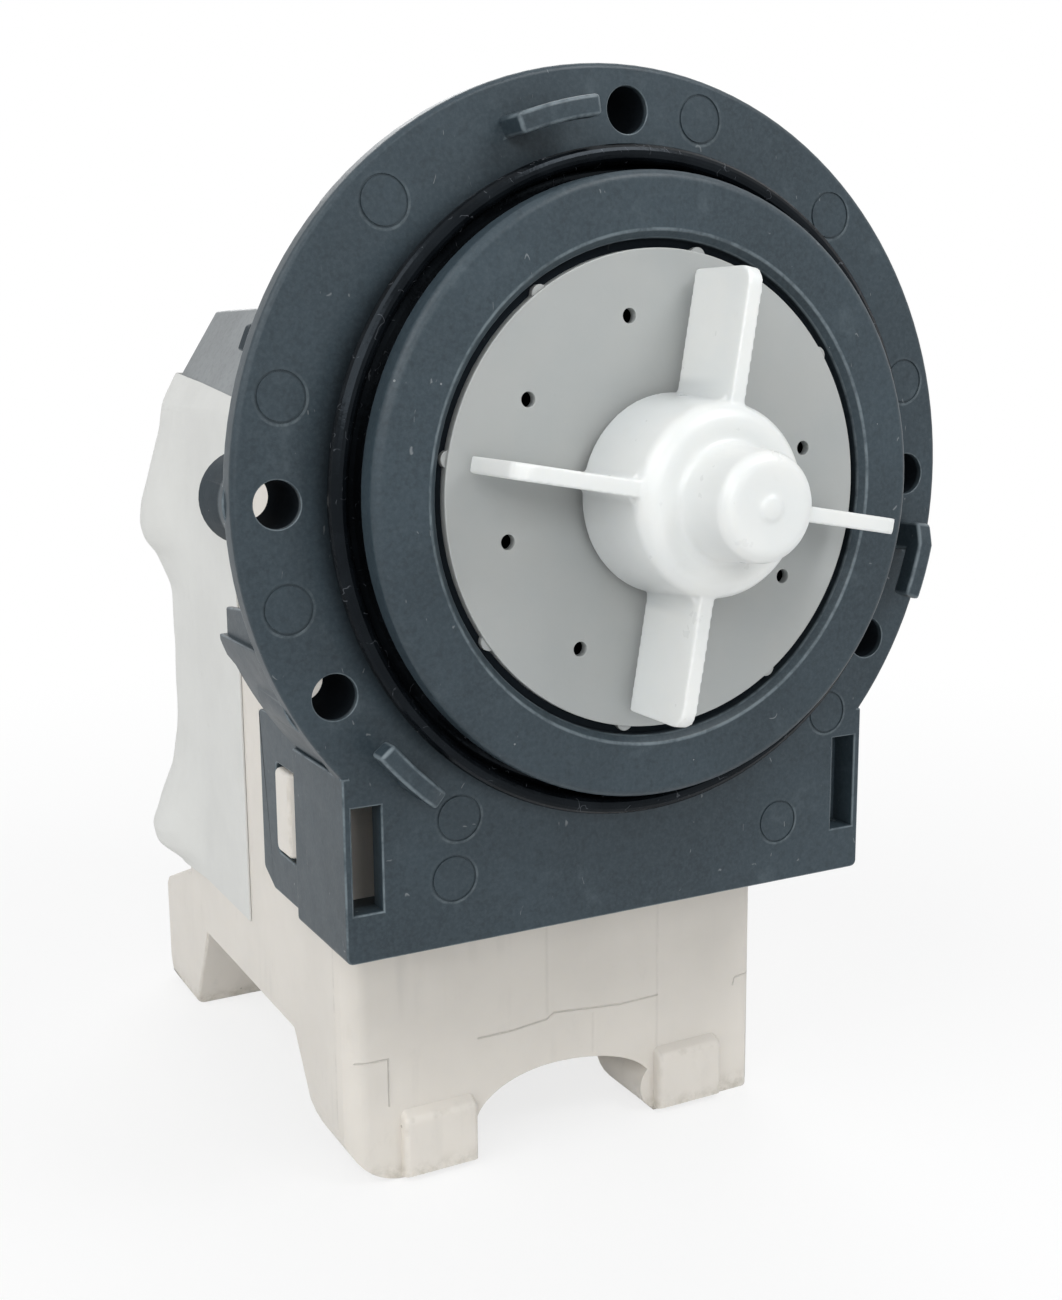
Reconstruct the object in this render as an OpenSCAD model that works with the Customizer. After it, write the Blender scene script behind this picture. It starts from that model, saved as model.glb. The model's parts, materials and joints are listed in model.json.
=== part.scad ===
// Drain pump for a washing machine: a small synchronous motor behind a bayonet flange.
// Units are millimetres. The shaft lies along Y, the impeller points to -Y and Z is up.
// The origin is on the shaft axis, in the front face of the flange plate.

/* [Flange plate] */
// Diameter of the round flange plate
plate_d = 95; // [93:0.5:104]
// Thickness of the flange plate
plate_t = 3; // [2:0.1:4]
// Rounding of the front edge of the plate
plate_edge = 0.7; // [0.3:0.1:1.2]
// Diameter of the circle that the screw holes lie on
screw_pcd = 85; // [84:0.5:86]
// Diameter of each screw hole
screw_d = 5.2; // [4:0.1:6]
// Chamfer of the back edge of the plate
plate_back_edge = 0.3; // [0.2:0.1:0.4]
// Wall round a screw hole in the boss behind the plate
boss_wall = 2.7; // [2.5:0.1:2.9]
// Length of the screw bosses behind the plate
boss_len = 8; // [4:0.5:12]
// Thickness of the stiffening ribs behind the plate
rib_t = 1.6; // [1:0.1:3]
// Diameter of the ejector marks
mark_d = 5.6; // [4:0.1:6]
// Depth of the fine groove round each ejector mark
mark_depth = 0.15; // [0.1:0.05:0.4]

/* [Bayonet hooks] */
// Number of bayonet hooks
hook_count = 3; // [2:1:3]
// Angle from +X to the free end of the first hook
hook_start = 98.8; // [97:0.1:104]
// Angle that one hook spans
hook_span = 13; // [10:0.5:16]
// Angle that the post of a hook spans
hook_post = 5; // [3:0.5:8]
// Radial width of a hook
hook_w = 2.3; // [1.5:0.1:3]
// Height of a hook above the plate
hook_h = 5.6; // [4:0.1:8]
// Thickness of the arm of a hook
hook_arm = 2.8; // [1.5:0.1:3.5]
// Length of the slope at the closed end of a hook
hook_slope = 2.6; // [1:0.1:3.5]

/* [Collar and seal] */
// Outer diameter of the collar ring
collar_d = 70.6; // [68:0.2:72]
// Height of the collar above the plate
collar_h = 8.8; // [8:0.1:12]
// Rounding of the outer edge of the collar
collar_edge = 1.1; // [0.5:0.1:1.5]
// Diameter of the mouth in the collar
mouth_d = 56; // [54:0.2:58]
// Chamfer round the mouth
mouth_chamfer = 0.9; // [0.4:0.1:1.2]
// Height of the seal groove above the plate
groove_h = 5.2; // [4:0.1:6]
// Depth of the seal groove below the collar ring
groove_depth = 2.1; // [1:0.1:2.5]
// How far the lip of the seal reaches past the collar ring
lip_reach = 3.1; // [2.6:0.1:3.5]
// Thickness of the round lip of the seal
lip_d = 2.2; // [1.6:0.1:2.4]

/* [Baffle disc] */
// Gap between the edge of the disc and the mouth
disc_gap = 1; // [0.6:0.1:1.5]
// Thickness of the disc
disc_t = 1.2; // [0.8:0.1:2]
// Depth of the disc's front face below the collar's front face
disc_sink = 0.7; // [0.3:0.1:1.2]
// Width of the seat that the disc lies on
seat_w = 2.5; // [1.5:0.1:4]
// Diameter of the small holes in the disc
weep_d = 1.7; // [1:0.1:2.5]
// Diameter of the circle that the small holes lie on
weep_pcd = 40.2; // [36:0.2:44]
// Number of small holes and of edge nibs
weep_count = 8; // [4:1:12]
// Angle from +X to the first small hole
weep_start = 12.8; // [0:0.1:40]
// Angle from +X to the first edge nib
nib_start = 35; // [0:0.5:44]
// Diameter of one round edge nib
nib_d = 2; // [1:0.1:3]
// How far the edge nibs stand out of the disc
nib_reach = 0.6; // [0.3:0.05:0.9]

/* [Impeller] */
// Diameter over the blade tips
impeller_d = 50; // [44:0.5:52]
// Number of blades
blade_count = 4; // [3:1:6]
// Thickness of a blade
blade_t = 1.8; // [1.2:0.1:3]
// Depth of a blade along the shaft
blade_depth = 10.9; // [8:0.1:12]
// Angle from +X to the first blade
blade_start = 80.4; // [0:0.1:90]
// Rounding of the outer front corner of a blade
blade_round = 2; // [0.5:0.1:3]
// Fillet between a blade and the hub
root_fillet = 1.5; // [0.5:0.1:2]
// Gap between the impeller and the baffle disc
impeller_gap = 1.2; // [0.8:0.1:2]
// Diameter of the hub at its back
hub_d = 22.6; // [21:0.2:26]
// Length of the hub
hub_len = 12.2; // [11:0.1:14]
// Slope of the hub wall, as radius lost over its length
hub_taper = 0.7; // [0:0.1:1.2]
// Rounding of the front shoulder of the hub
hub_round = 2.4; // [1:0.1:3]
// Diameter of the nose in front of the hub
nose_d = 12.4; // [10:0.2:14]
// Length of the nose
nose_len = 7.5; // [7:0.1:10]
// Rounding of the tip of the nose
nose_round = 1.6; // [0.8:0.1:2]
// Thickness of the nose in front of the shaft
nose_cap = 2.6; // [2:0.1:4]
// Wall of the hub round its drive chamber
hub_wall = 2.7; // [2:0.1:3]
// Thickness of the cap that closes the drive chamber
cap_t = 1.8; // [1:0.1:2.5]

/* [Drive dog] */
// Angle that the dog's wing spans, and the lug in the hub too
dog_span = 60; // [40:1:80]
// Diameter of the dog's boss
dog_d = 9; // [8:0.2:11]
// Running clearance between the dog and the drive chamber
dog_gap = 0.4; // [0.3:0.05:0.8]

/* [Rotor] */
// Diameter of the steel shaft
shaft_d = 5; // [4:0.1:6]
// Radial running clearance of the shaft
run_gap = 0.05; // [0.02:0.01:0.1]
// Outer diameter of the magnet
magnet_d = 29; // [26:0.5:30]
// Length of the magnet
magnet_len = 30; // [24:0.5:31]
// Place of the middle of the magnet behind the plate face
magnet_y = 47; // [46:0.5:48]
// Diameter of the moulded core inside the magnet
core_d = 18; // [14:0.5:20]
// Thickness of the rim at each end of the core
rim_t = 2; // [1.5:0.1:2.5]
// Thickness of the thrust washers
washer_t = 1.2; // [0.8:0.1:1.4]
// Diameter of the bearings
bearing_d = 13; // [11:0.5:14]
// Length of the bearings
bearing_len = 7; // [5:0.5:7.5]

/* [Rotor well] */
// Inner diameter of the rotor well
well_d = 32; // [31.5:0.1:33]
// Wall of the rotor well
well_wall = 1.5; // [1:0.1:1.8]
// Inner diameter of the mouth of the well
well_mouth_d = 34.6; // [34:0.2:36]
// Outer diameter of the rim of the well
well_rim_d = 48; // [46:0.5:49]
// Thickness of the rim of the well
well_rim_t = 3; // [2:0.1:4]
// Section of the O-ring in front of the rim
oring_d = 2.9; // [2:0.1:3.2]

/* [Motor housing] */
// Width of the motor housing
body_w = 62; // [60:0.5:64]
// Place of the front wall behind the plate face
body_front = 17; // [16:0.5:19]
// Place of the back wall behind the plate face
body_back = 88; // [86:0.5:96]
// Height of the flat top above the shaft axis
body_top = 22; // [21.5:0.1:25]
// Rounding of the upright corners
body_round = 3; // [2:0.1:5]
// Wall of the housing shells
body_wall = 2; // [1.5:0.1:2.4]
// Height of the joint between the two shells above the shaft axis
split_z = 7; // [5:0.5:9]
// Depth of the feet below the shaft axis
foot_z = 90; // [86:0.5:96]
// Depth of the underside of the floor below the shaft axis
floor_z = 75; // [74.5:0.5:77]
// Width of the arch between the feet, at the front and the back
arch_w = 28; // [24:0.5:30]
// Distance of the middle of the arch to the right of the shaft
arch_x = 1; // [0:0.1:2]
// Height of the front and back arches
arch_h = 10.8; // [8:0.1:12]
// Height of the rounded part of the arches
arch_rise = 6.8; // [4:0.1:7.5]
// Distance of the highest point of the arch to the left of its middle
arch_lean = 1.8; // [0:0.1:3]
// Length of a front foot at the floor
foot_len = 19; // [15:0.5:24]
// Length of a rear foot ahead of the back wall
rear_foot_len = 11; // [8:0.5:16]
// Length of the heel behind the back wall
heel_len = 13; // [8:0.5:16]
// Height of the heel at its back
heel_h = 17.5; // [15:0.5:22]
// How much higher the heel is where it meets the back wall
heel_rise = 5; // [2:0.5:8]
// Wall of the feet below the floor
foot_wall = 3; // [2:0.1:4]
// Rounding of the outer lower edge of the feet
foot_round = 6; // [3:0.5:8]
// Thickness of the raised pads on the front feet
pad_t = 1.7; // [1:0.1:2.5]
// Width of the raised pads
pad_w = 10.4; // [8:0.1:12]
// Height of the raised pads above the floor
pad_h = 9; // [7:0.1:10]

/* [Flange skirt] */
// Width of the skirt below the plate
skirt_w = 72.6; // [70:0.2:76]
// Depth of the skirt below the shaft axis
skirt_z = 52.4; // [48:0.2:56]
// Rounding of the lower corners of the skirt
skirt_corner = 0.8; // [0.5:0.1:3]
// Wall of the skirt
skirt_wall = 1.6; // [1.2:0.1:2]
// Length of the clip plates behind the skirt
clip_len = 15; // [12:0.5:18]
// How far the clip plates are set in from the sides of the skirt
clip_step = 0.9; // [0.6:0.1:1]
// Thickness of the clip plates
clip_t = 1.3; // [1:0.1:1.4]
// Height of the clip windows
window_h = 11.6; // [8:0.2:13]
// Length of the clip windows
window_len = 8.4; // [6:0.2:10]
// Depth of the top of the clip windows below the shaft axis
window_z = 34.6; // [34:0.2:37]
// Width of the slots in the face of the skirt
slot_w = 3.5; // [3:0.1:3.8]

/* [Stator] */
// Thickness of the lamination stack
stack_t = 30; // [24:0.5:32]
// Radial gap between the rotor well and the poles
pole_gap = 0.5; // [0.3:0.1:1]
// Width of each leg of the core
leg_w = 12; // [10:0.5:13]
// Distance from the shaft plane to the middle of a leg
leg_x = 15; // [14.5:0.1:15.5]
// Length of the bobbins
bobbin_len = 30; // [24:0.5:31]
// Height of the yoke across the legs
yoke_h = 12; // [9:0.5:12.5]
// Wall of the bobbins
bobbin_wall = 1.2; // [0.8:0.1:1.5]
// Depth of the winding round a bobbin
wind_t = 4.4; // [3:0.1:4.6]
// Width of the thermal cut-out
cutout_w = 8; // [6:0.5:14]
// Length of the thermal cut-out
cutout_len = 18; // [12:0.5:28]

/* [Terminals and label] */
// Width of the terminal shroud
shroud_w = 24; // [22:0.5:28]
// Height of the terminal shroud
shroud_h = 15; // [14:0.5:18]
// Length of the terminal shroud behind the back wall
shroud_len = 10; // [8:0.5:12]
// Depth of the middle of the shroud below the shaft axis
shroud_z = 46; // [40:0.5:50]
// Width of each terminal blade
blade_tab_w = 6.3; // [4.8:0.1:6.3]
// Thickness of each terminal blade
blade_tab_t = 0.8; // [0.5:0.1:1]
// Distance between the middles of the two blades
tab_pitch = 11; // [10:0.5:12]
// Thickness of the paper label
label_t = 0.25; // [0.15:0.05:0.5]
// Height of the label
label_h = 76; // [60:1:78]
// Height of the label's top edge above the shaft axis
label_top = 11; // [6:0.5:14]
// Length of the label on the back wall
label_tail = 14; // [8:0.5:20]
// Distance of the label's front edge from the plate face
label_front = 53; // [45:1:60]
// How far the loose paper stands off the back corner
label_bulge = 4.3; // [0:0.1:5]

/* [Hidden] */
$fn = 96;
fit = 0.3;
tiny = 0.02;

// Colours as the photograph shows them, and plain ones for the hidden pieces
slate = [0.31, 0.36, 0.4];
rubber = [0.06, 0.06, 0.07];
pale = [0.78, 0.79, 0.79];
milk = [0.93, 0.93, 0.91];
ivory = [0.86, 0.84, 0.79];
steel = [0.6, 0.61, 0.62];

plate_r = plate_d / 2;
screw_r = screw_pcd / 2;
boss_r = screw_d / 2 + boss_wall;
collar_r = collar_d / 2;
mouth_r = mouth_d / 2;
groove_r = collar_r - groove_depth;
disc_front = -collar_h + disc_sink;
disc_back = disc_front + disc_t;
disc_r = mouth_r - disc_gap;
seat_r = mouth_r - seat_w;
shaft_r = shaft_d / 2;

// Impeller places along the shaft, from back to front
impeller_back = disc_front - impeller_gap;
blade_front = impeller_back - blade_depth;
hub_front = impeller_back - hub_len;
nose_tip = hub_front - nose_len;
hub_r = hub_d / 2;
hub_front_r = hub_r - hub_taper;
nose_r = nose_d / 2;
tip_r = impeller_d / 2;
chamber_r = hub_r - hub_wall;
chamber_front = hub_front + hub_wall;
cap_back = impeller_back - tiny;
cap_front = impeller_back - cap_t;
shaft_front = nose_tip + nose_cap;
dog_front = chamber_front + dog_gap;
dog_back = cap_front - dog_gap;

// Rotor places along the shaft
magnet_front = magnet_y - magnet_len / 2;
magnet_back = magnet_y + magnet_len / 2;
core_front = magnet_front - rim_t;
core_back = magnet_back + rim_t;
end_play = 0.2;
front_washer_y = core_front - washer_t - tiny;
rear_washer_y = core_back + tiny;
front_bearing_y = front_washer_y - end_play - bearing_len;
rear_bearing_y = rear_washer_y + washer_t + end_play;
washer_r = shaft_r + 3;
bearing_r = bearing_d / 2;
shaft_back = rear_bearing_y + bearing_len;

// Rotor well and what sits round its rim
well_r = well_d / 2;
well_out = well_r + well_wall;
mouth_in = well_mouth_d / 2;
mouth_out = mouth_in + well_wall;
rim_r = well_rim_d / 2;
rim_front = body_front - well_rim_t;
oring_r = oring_d / 2;
oring_mid = rim_front - oring_r - tiny;
neck_step = oring_mid - oring_r - tiny;
neck_in = rim_r + fit;
neck_wall = 3.6;
neck_out = neck_in + neck_wall;
holder_r = mouth_in - 0.1;
holder_back = front_bearing_y + bearing_len;
cup_wall = 2.5;
cup_r = bearing_r + cup_wall;
well_end = shaft_back + 1;
seal_r = 9;
seal_len = 6;

// Housing
body_r = body_w / 2;
split_gap = tiny;
floor_t = body_wall;
cavity_z = -floor_z + floor_t;
well_hole_r = mouth_out + fit;
side_in = body_r - body_wall;
arch_left = arch_x - arch_w / 2;
arch_right = arch_x + arch_w / 2;

// Skirt and clips
skirt_x = skirt_w / 2;
skirt_in = skirt_x - skirt_wall;
clip_back = body_front + clip_len;
window_front = body_front - fit - 0.5;
window_back = body_front + 0.6 + window_len;
clip_x = skirt_x - clip_step;
catch_x = clip_x + 0.3;
catch_gap = 0.4;
shoulder_z = sqrt(plate_r * plate_r - skirt_x * skirt_x);

// Stator
pole_r = well_out + pole_gap;
stack_front = magnet_y - stack_t / 2;
stack_back = magnet_y + stack_t / 2;
core_r = side_in - fit;
core_top = body_top - body_wall - fit;
pole_z = -22;
yoke_top = pole_z - bobbin_len - 2 * fit;
yoke_z = yoke_top - yoke_h;
bobbin_top = pole_z - fit;
bobbin_bottom = bobbin_top - bobbin_len;
flange_t = 1.5;
tube_w = leg_w + 2 * fit + 2 * bobbin_wall;
tube_d = stack_t + 2 * fit + 2 * bobbin_wall;

function arc(mid, r, from, to, steps = 6) =
    [for (i = [0 : steps]) let (a = from + (to - from) * i / steps) mid + r * [cos(a), sin(a)]];

// A front view outline (x, z), as thick as the stretch from y0 to y1
module along_y(y0, y1) translate([0, y1, 0]) rotate([90, 0, 0]) linear_extrude(y1 - y0) children();

// A side view outline (y, z), as thick as the stretch from x0 to x1
module along_x(x0, x1) translate([x0, 0, 0]) rotate([90, 0, 90]) linear_extrude(x1 - x0) children();

// A profile (radius, y) turned about the shaft axis
module turned() rotate([-90, 0, 0]) rotate_extrude() children();

module rod(r, y0, y1) translate([0, y0, 0]) rotate([-90, 0, 0]) cylinder(r = r, h = y1 - y0);

module tube(r_in, r_out, y0, y1) {
    difference() {
        rod(r_out, y0, y1);
        rod(r_in, y0 - 1, y1 + 1);
    }
}

module ring(r_in, r_out) {
    difference() {
        circle(r_out);
        circle(r_in);
    }
}

// A piece of a ring, from one angle to another less than 180 degrees on
module sector(r_in, r_out, from, to) {
    far = 2 * r_out / cos((to - from) / 2);
    intersection() {
        ring(r_in, r_out);
        polygon([[0, 0], far * [cos(from), sin(from)], far * [cos(to), sin(to)]]);
    }
}

module at_angle(a, r) rotate([0, -a, 0]) translate([r, 0, 0]) children();

module block(x, y, z) translate([x[0], y[0], z[0]]) cube([x[1] - x[0], y[1] - y[0], z[1] - z[0]]);

function rounded_box(x, y, r) = concat(
    arc([x[1] - r, y[0] + r], r, -90, 0),
    arc([x[1] - r, y[1] - r], r, 0, 90),
    arc([x[0] + r, y[1] - r], r, 90, 180),
    arc([x[0] + r, y[0] + r], r, 180, 270));

// Flange

screw_angles = [0, 90, 180, 210, 330];
rib_angles = [22, 56, 124, 158];
mark_angles = [16, 48, 77, 133.5, 165, 195, 239, 315];
mark_r = 43.2;
skirt_mark = [23, -44.2];

function flange_profile() = concat(
    [[seal_r, 0], [seat_r, 0], [seat_r, disc_back], [mouth_r, disc_back]],
    [[mouth_r, mouth_chamfer - collar_h], [mouth_r + mouth_chamfer, -collar_h]],
    arc([collar_r - collar_edge, collar_edge - collar_h], collar_edge, -90, 0),
    [[collar_r, -groove_h], [groove_r, -groove_h], [groove_r, 0]],
    arc([plate_r - plate_edge, plate_edge], plate_edge, -90, 0),
    [[plate_r, plate_t - plate_back_edge], [plate_r - plate_back_edge, plate_t]],
    [[neck_out, plate_t], [neck_out, body_front], [neck_in, body_front]],
    [[neck_in, neck_step], [neck_in - 3.5, neck_step], [neck_in - 3.5, plate_t]],
    [[seal_r + 3, plate_t], [seal_r + 3, seal_len + 3], [seal_r - 3, seal_len + 3]],
    [[seal_r - 3, seal_len + 1], [seal_r, seal_len + 1]]);

function skirt_points(side, bottom, top, r) = concat(
    [[-side, top]],
    arc([-side + r, bottom + r], r, 180, 270),
    arc([side - r, bottom + r], r, 270, 360),
    [[side, top]]);

module skirt() {
    along_y(0, plate_t) polygon(skirt_points(skirt_x, -skirt_z, -shoulder_z, skirt_corner));
    along_y(plate_t, body_front - fit) difference() {
        polygon(skirt_points(skirt_x, -skirt_z, -shoulder_z, skirt_corner));
        polygon(skirt_points(skirt_in, skirt_wall - skirt_z, 0, 1));
    }
}

// The clip plate of the +X side, with its window
module clip() {
    along_x(clip_x - clip_t, clip_x) difference() {
        polygon(concat(
            [[body_front - 2, 0.6 - skirt_z], [clip_back - 4, 0.6 - skirt_z]],
            arc([clip_back - 0.8, 3 - skirt_z], 0.8, -70, 0, 3),
            arc([clip_back - 1, 0.8 - shoulder_z], 1, 0, 90),
            [[body_front - 2, 1.8 - shoulder_z]]));
        polygon(rounded_box([window_front, window_back], [-window_z - window_h, -window_z], 0.8));
    }
}

module hooks() {
    for (i = [0 : hook_count - 1]) {
        free = hook_start + 360 * i / hook_count;
        inner = screw_r - hook_w / 2;
        outer = screw_r + hook_w / 2;
        drop = 0.4 * hook_arm;
        difference() {
            union() {
                along_y(-hook_h, hook_arm - hook_h) sector(inner, outer, free, free + hook_span);
                along_y(-hook_h, 1) sector(inner, outer, free + hook_span - hook_post, free + hook_span);
            }
            at_angle(free + hook_span, screw_r) along_x(-hook_w, hook_w) polygon([
                [-hook_h - drop / 2, -1.5 * hook_slope], [-hook_h - drop / 2, hook_slope / 2],
                [1.5 * drop - hook_h, hook_slope / 2]]);
        }
    }
}

// The cable hook and the small stop behind the rim
module rear_hooks() {
    intersection() {
        along_y(plate_t - 1, plate_t + 18) ring(plate_r - 3, plate_r - 1);
        along_x(-plate_r, -plate_r / 2) union() {
            polygon([[0, -11.5], [18.5, -13.2], [19.6, -14], [19.6, -16], [16, -20], [plate_t, -31], [0, -31]]);
            polygon([[0, 15], [plate_t + 5, 16], [plate_t + 5, 18.6], [0, 19.5]]);
        }
    }
}

module mark() {
    translate([0, -1, 0]) tube(mark_d / 2 - 0.25, mark_d / 2, 0, 1 + mark_depth);
}

module front_flange() {
    color(slate) difference() {
        union() {
            turned() polygon(flange_profile());
            skirt();
            clip();
            mirror([1, 0, 0]) clip();
            hooks();
            rear_hooks();
            for (a = screw_angles) at_angle(a, screw_r) rod(boss_r, plate_t - 1, plate_t + boss_len);
            for (a = rib_angles) at_angle(a, 0)
                block([neck_out - 1, plate_r - 2], [plate_t - 1, plate_t + 6], [-rib_t / 2, rib_t / 2]);
        }
        for (a = screw_angles) at_angle(a, screw_r) rod(screw_d / 2, -1, plate_t + boss_len + 1);
        for (side = [-1, 1])
            along_y(-1, plate_t + 1) translate([side * (skirt_x - 1 - slot_w / 2), -window_z - window_h / 2])
                square([slot_w, window_h + 0.8], center = true);
        for (a = mark_angles) at_angle(a, mark_r) mark();
        for (side = [-1, 1]) translate([side * skirt_mark[0], 0, skirt_mark[1]]) mark();
    }
}

// Rubber seal in the groove behind the collar ring, with a round lip that flares away from the plate
module flange_seal() {
    lip_r = lip_d / 2;
    lip = [collar_r + lip_reach - lip_r, 0.2 + lip_r - groove_h];
    foot = lip[0] - lip_r + 0.2;
    valley = lip[0] - lip_r;
    neck = collar_r - 0.4;
    color(rubber) turned() polygon(concat(
        [[groove_r, 0], [foot - 0.4, 0], [foot, -0.4]],
        arc(lip, lip_r, 30, -180, 10),
        arc([valley - 0.5, lip[1] + 1.2], 0.5, 0, 90, 4),
        [[neck, lip[1] + 1.7], [neck, -groove_h + tiny], [groove_r, -groove_h + tiny]]));
}

module baffle_disc() {
    color(pale) difference() {
        union() {
            rod(disc_r, disc_front, disc_back);
            for (i = [0 : weep_count - 1])
                at_angle(nib_start + 360 * i / weep_count, disc_r + nib_reach - nib_d / 2)
                    rod(nib_d / 2, disc_front + 0.4, disc_back);
        }
        rod(shaft_r + 1.2, disc_front - 1, disc_back + 1);
        for (i = [0 : weep_count - 1])
            at_angle(weep_start + 360 * i / weep_count, weep_pcd / 2)
                rod(weep_d / 2, disc_front - 1, disc_back + 1);
    }
}

// Impeller and its lost-motion drive

lug_mid = blade_start + 180 / blade_count;
nose_bore = shaft_r + run_gap;

function impeller_profile() = concat(
    [[chamber_r + 0.5, impeller_back], [hub_r - 0.3, impeller_back], [hub_r, impeller_back - 0.3]],
    arc([hub_front_r - hub_round, hub_front + hub_round], hub_round, 0, -90, 8),
    arc([nose_r + 0.8, hub_front - 0.8], 0.8, 90, 180, 4),
    arc([nose_r - 0.3 - nose_round, nose_tip + nose_round], nose_round, 0, -90),
    [[1.5, nose_tip], [1.1, nose_tip - 0.3], [0, nose_tip - 0.4]],
    [[0, shaft_front - 0.3], [nose_bore, shaft_front - 0.3], [nose_bore, chamber_front]],
    [[chamber_r, chamber_front], [chamber_r, cap_front], [chamber_r + 0.5, cap_front]]);

// One blade, along +X from inside the hub wall to the tip
module blade() {
    linear_extrude(blade_t, center = true) polygon(concat(
        [[chamber_r + 0.9, impeller_back]],
        arc([tip_r - 0.4, impeller_back - 0.4], 0.4, 90, 0, 3),
        arc([tip_r - blade_round, blade_front + blade_round], blade_round, 0, -90),
        [[chamber_r + 0.9, blade_front]]));
}

// The fillet on one side of a blade, in the front view
module root_fillet_outline() {
    across = blade_t / 2 + root_fillet;
    out = hub_front_r + root_fillet;
    mid = [sqrt(out * out - across * across), across];
    difference() {
        polygon([[chamber_r + 0.9, 0], [mid[0], 0], mid, mid * hub_front_r / out]);
        translate(mid) circle(root_fillet, $fn = 32);
    }
}

module impeller() {
    color(milk) {
        turned() polygon(impeller_profile());
        for (i = [0 : blade_count - 1]) at_angle(blade_start + 360 * i / blade_count, 0) {
            blade();
            along_y(blade_front + 1, impeller_back) {
                root_fillet_outline();
                mirror([0, 1]) root_fillet_outline();
            }
        }
        along_y(chamber_front - 0.5, cap_front - dog_gap)
            sector(dog_d / 2 + dog_gap, chamber_r + 0.5, lug_mid - dog_span / 2, lug_mid + dog_span / 2);
    }
}

module hub_cap() {
    color(milk) tube(shaft_r + 0.5, chamber_r + 0.5, cap_front, cap_back);
}

module drive_dog() {
    color(pale) difference() {
        union() {
            rod(dog_d / 2, dog_front, dog_back);
            along_y(dog_front, dog_back) sector(dog_d / 2 - 0.5, chamber_r - dog_gap,
                lug_mid + 180 - dog_span / 2, lug_mid + 180 + dog_span / 2);
        }
        rod(shaft_r, dog_front - 1, dog_back + 1);
    }
}

// Rotor and bearings

module rotor_shaft() {
    color(steel) turned() polygon([
        [0, shaft_front], [shaft_r - 0.4, shaft_front], [shaft_r, shaft_front + 0.4],
        [shaft_r, shaft_back - 0.4], [shaft_r - 0.4, shaft_back], [0, shaft_back]]);
}

module rotor_core() {
    color(milk) turned() polygon([
        [shaft_r, core_front], [core_d / 2 + 2, core_front], [core_d / 2 + 2, magnet_front],
        [core_d / 2, magnet_front], [core_d / 2, magnet_back], [core_d / 2 + 2, magnet_back],
        [core_d / 2 + 2, core_back], [shaft_r, core_back]]);
}

module rotor_magnet() {
    color([0.2, 0.2, 0.21]) tube(core_d / 2, magnet_d / 2, magnet_front, magnet_back);
}

module front_washer() {
    color(pale) tube(shaft_r, washer_r, front_washer_y, front_washer_y + washer_t);
}

module rear_washer() {
    color(pale) tube(shaft_r, washer_r, rear_washer_y, rear_washer_y + washer_t);
}

module front_bearing() {
    color([0.66, 0.5, 0.32]) tube(nose_bore, bearing_r, front_bearing_y, holder_back);
}

module rear_bearing() {
    color([0.66, 0.5, 0.32]) tube(nose_bore, bearing_r, rear_bearing_y, shaft_back);
}

// The bracket in the mouth of the well that carries the front bearing
module front_bearing_holder() {
    color(milk) difference() {
        tube(bearing_r, holder_r, front_bearing_y, holder_back);
        for (a = [45 : 90 : 315]) at_angle(a, (bearing_r + holder_r) / 2)
            rod(2.2, front_bearing_y - 1, holder_back + 1);
    }
}

module rear_bearing_holder() {
    color(rubber) tube(bearing_r, cup_r, rear_bearing_y, shaft_back);
}

module shaft_seal() {
    color(rubber) turned() polygon([
        [shaft_r + run_gap, seal_len], [shaft_r + run_gap, seal_len - 0.8], [shaft_r + 1.2, 2.2],
        [seal_r - 2.2, 2.2], [seal_r - 2.2, 1], [seal_r, 1], [seal_r, seal_len + 1],
        [seal_r - 3, seal_len + 1], [seal_r - 3.4, seal_len]]);
}

module rotor_well() {
    color(milk) turned() polygon([
        [mouth_in, rim_front], [rim_r, rim_front], [rim_r, body_front], [mouth_out, body_front],
        [mouth_out, stack_front - 1.5], [well_out, stack_front - 0.5], [well_out, well_end],
        [well_out - 1, well_end + 1.5], [0, well_end + 1.5], [0, shaft_back + tiny],
        [cup_r, shaft_back + tiny], [cup_r, rear_bearing_y], [cup_r + 1.5, rear_bearing_y],
        [cup_r + 1.5, shaft_back - 2], [well_r, shaft_back - 2], [well_r, holder_back],
        [mouth_in, holder_back]]);
}

module well_oring() {
    color(rubber) turned() translate([rim_r - oring_r - 0.3, oring_mid]) circle(oring_r, $fn = 32);
}

// Stator

// The two poles, the legs and the yoke, in the front view
module core_outline() {
    difference() {
        union() {
            intersection() {
                circle(core_r);
                translate([-core_r, pole_z]) square([2 * core_r, core_top - pole_z]);
            }
            for (side = [-1, 1]) translate([side * leg_x - leg_w / 2, yoke_z])
                square([leg_w, -yoke_z - pole_r / 2]);
            translate([-leg_x - leg_w / 2, yoke_z]) square([2 * leg_x + leg_w, yoke_h]);
        }
        circle(pole_r);
        translate([-1.2, 0]) square([2.4, core_r]);
        translate([leg_w / 2 - leg_x, yoke_top]) square([2 * leg_x - leg_w, -yoke_top]);
        translate([-side_in, yoke_z - 1]) square([side_in - leg_x - leg_w / 2, pole_z - yoke_z + 1]);
        translate([leg_x + leg_w / 2, yoke_z - 1]) square([side_in - leg_x - leg_w / 2, pole_z - yoke_z + 1]);
    }
}

module stator_core() {
    color([0.36, 0.37, 0.39]) along_y(stack_front, stack_back) core_outline();
}

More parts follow.
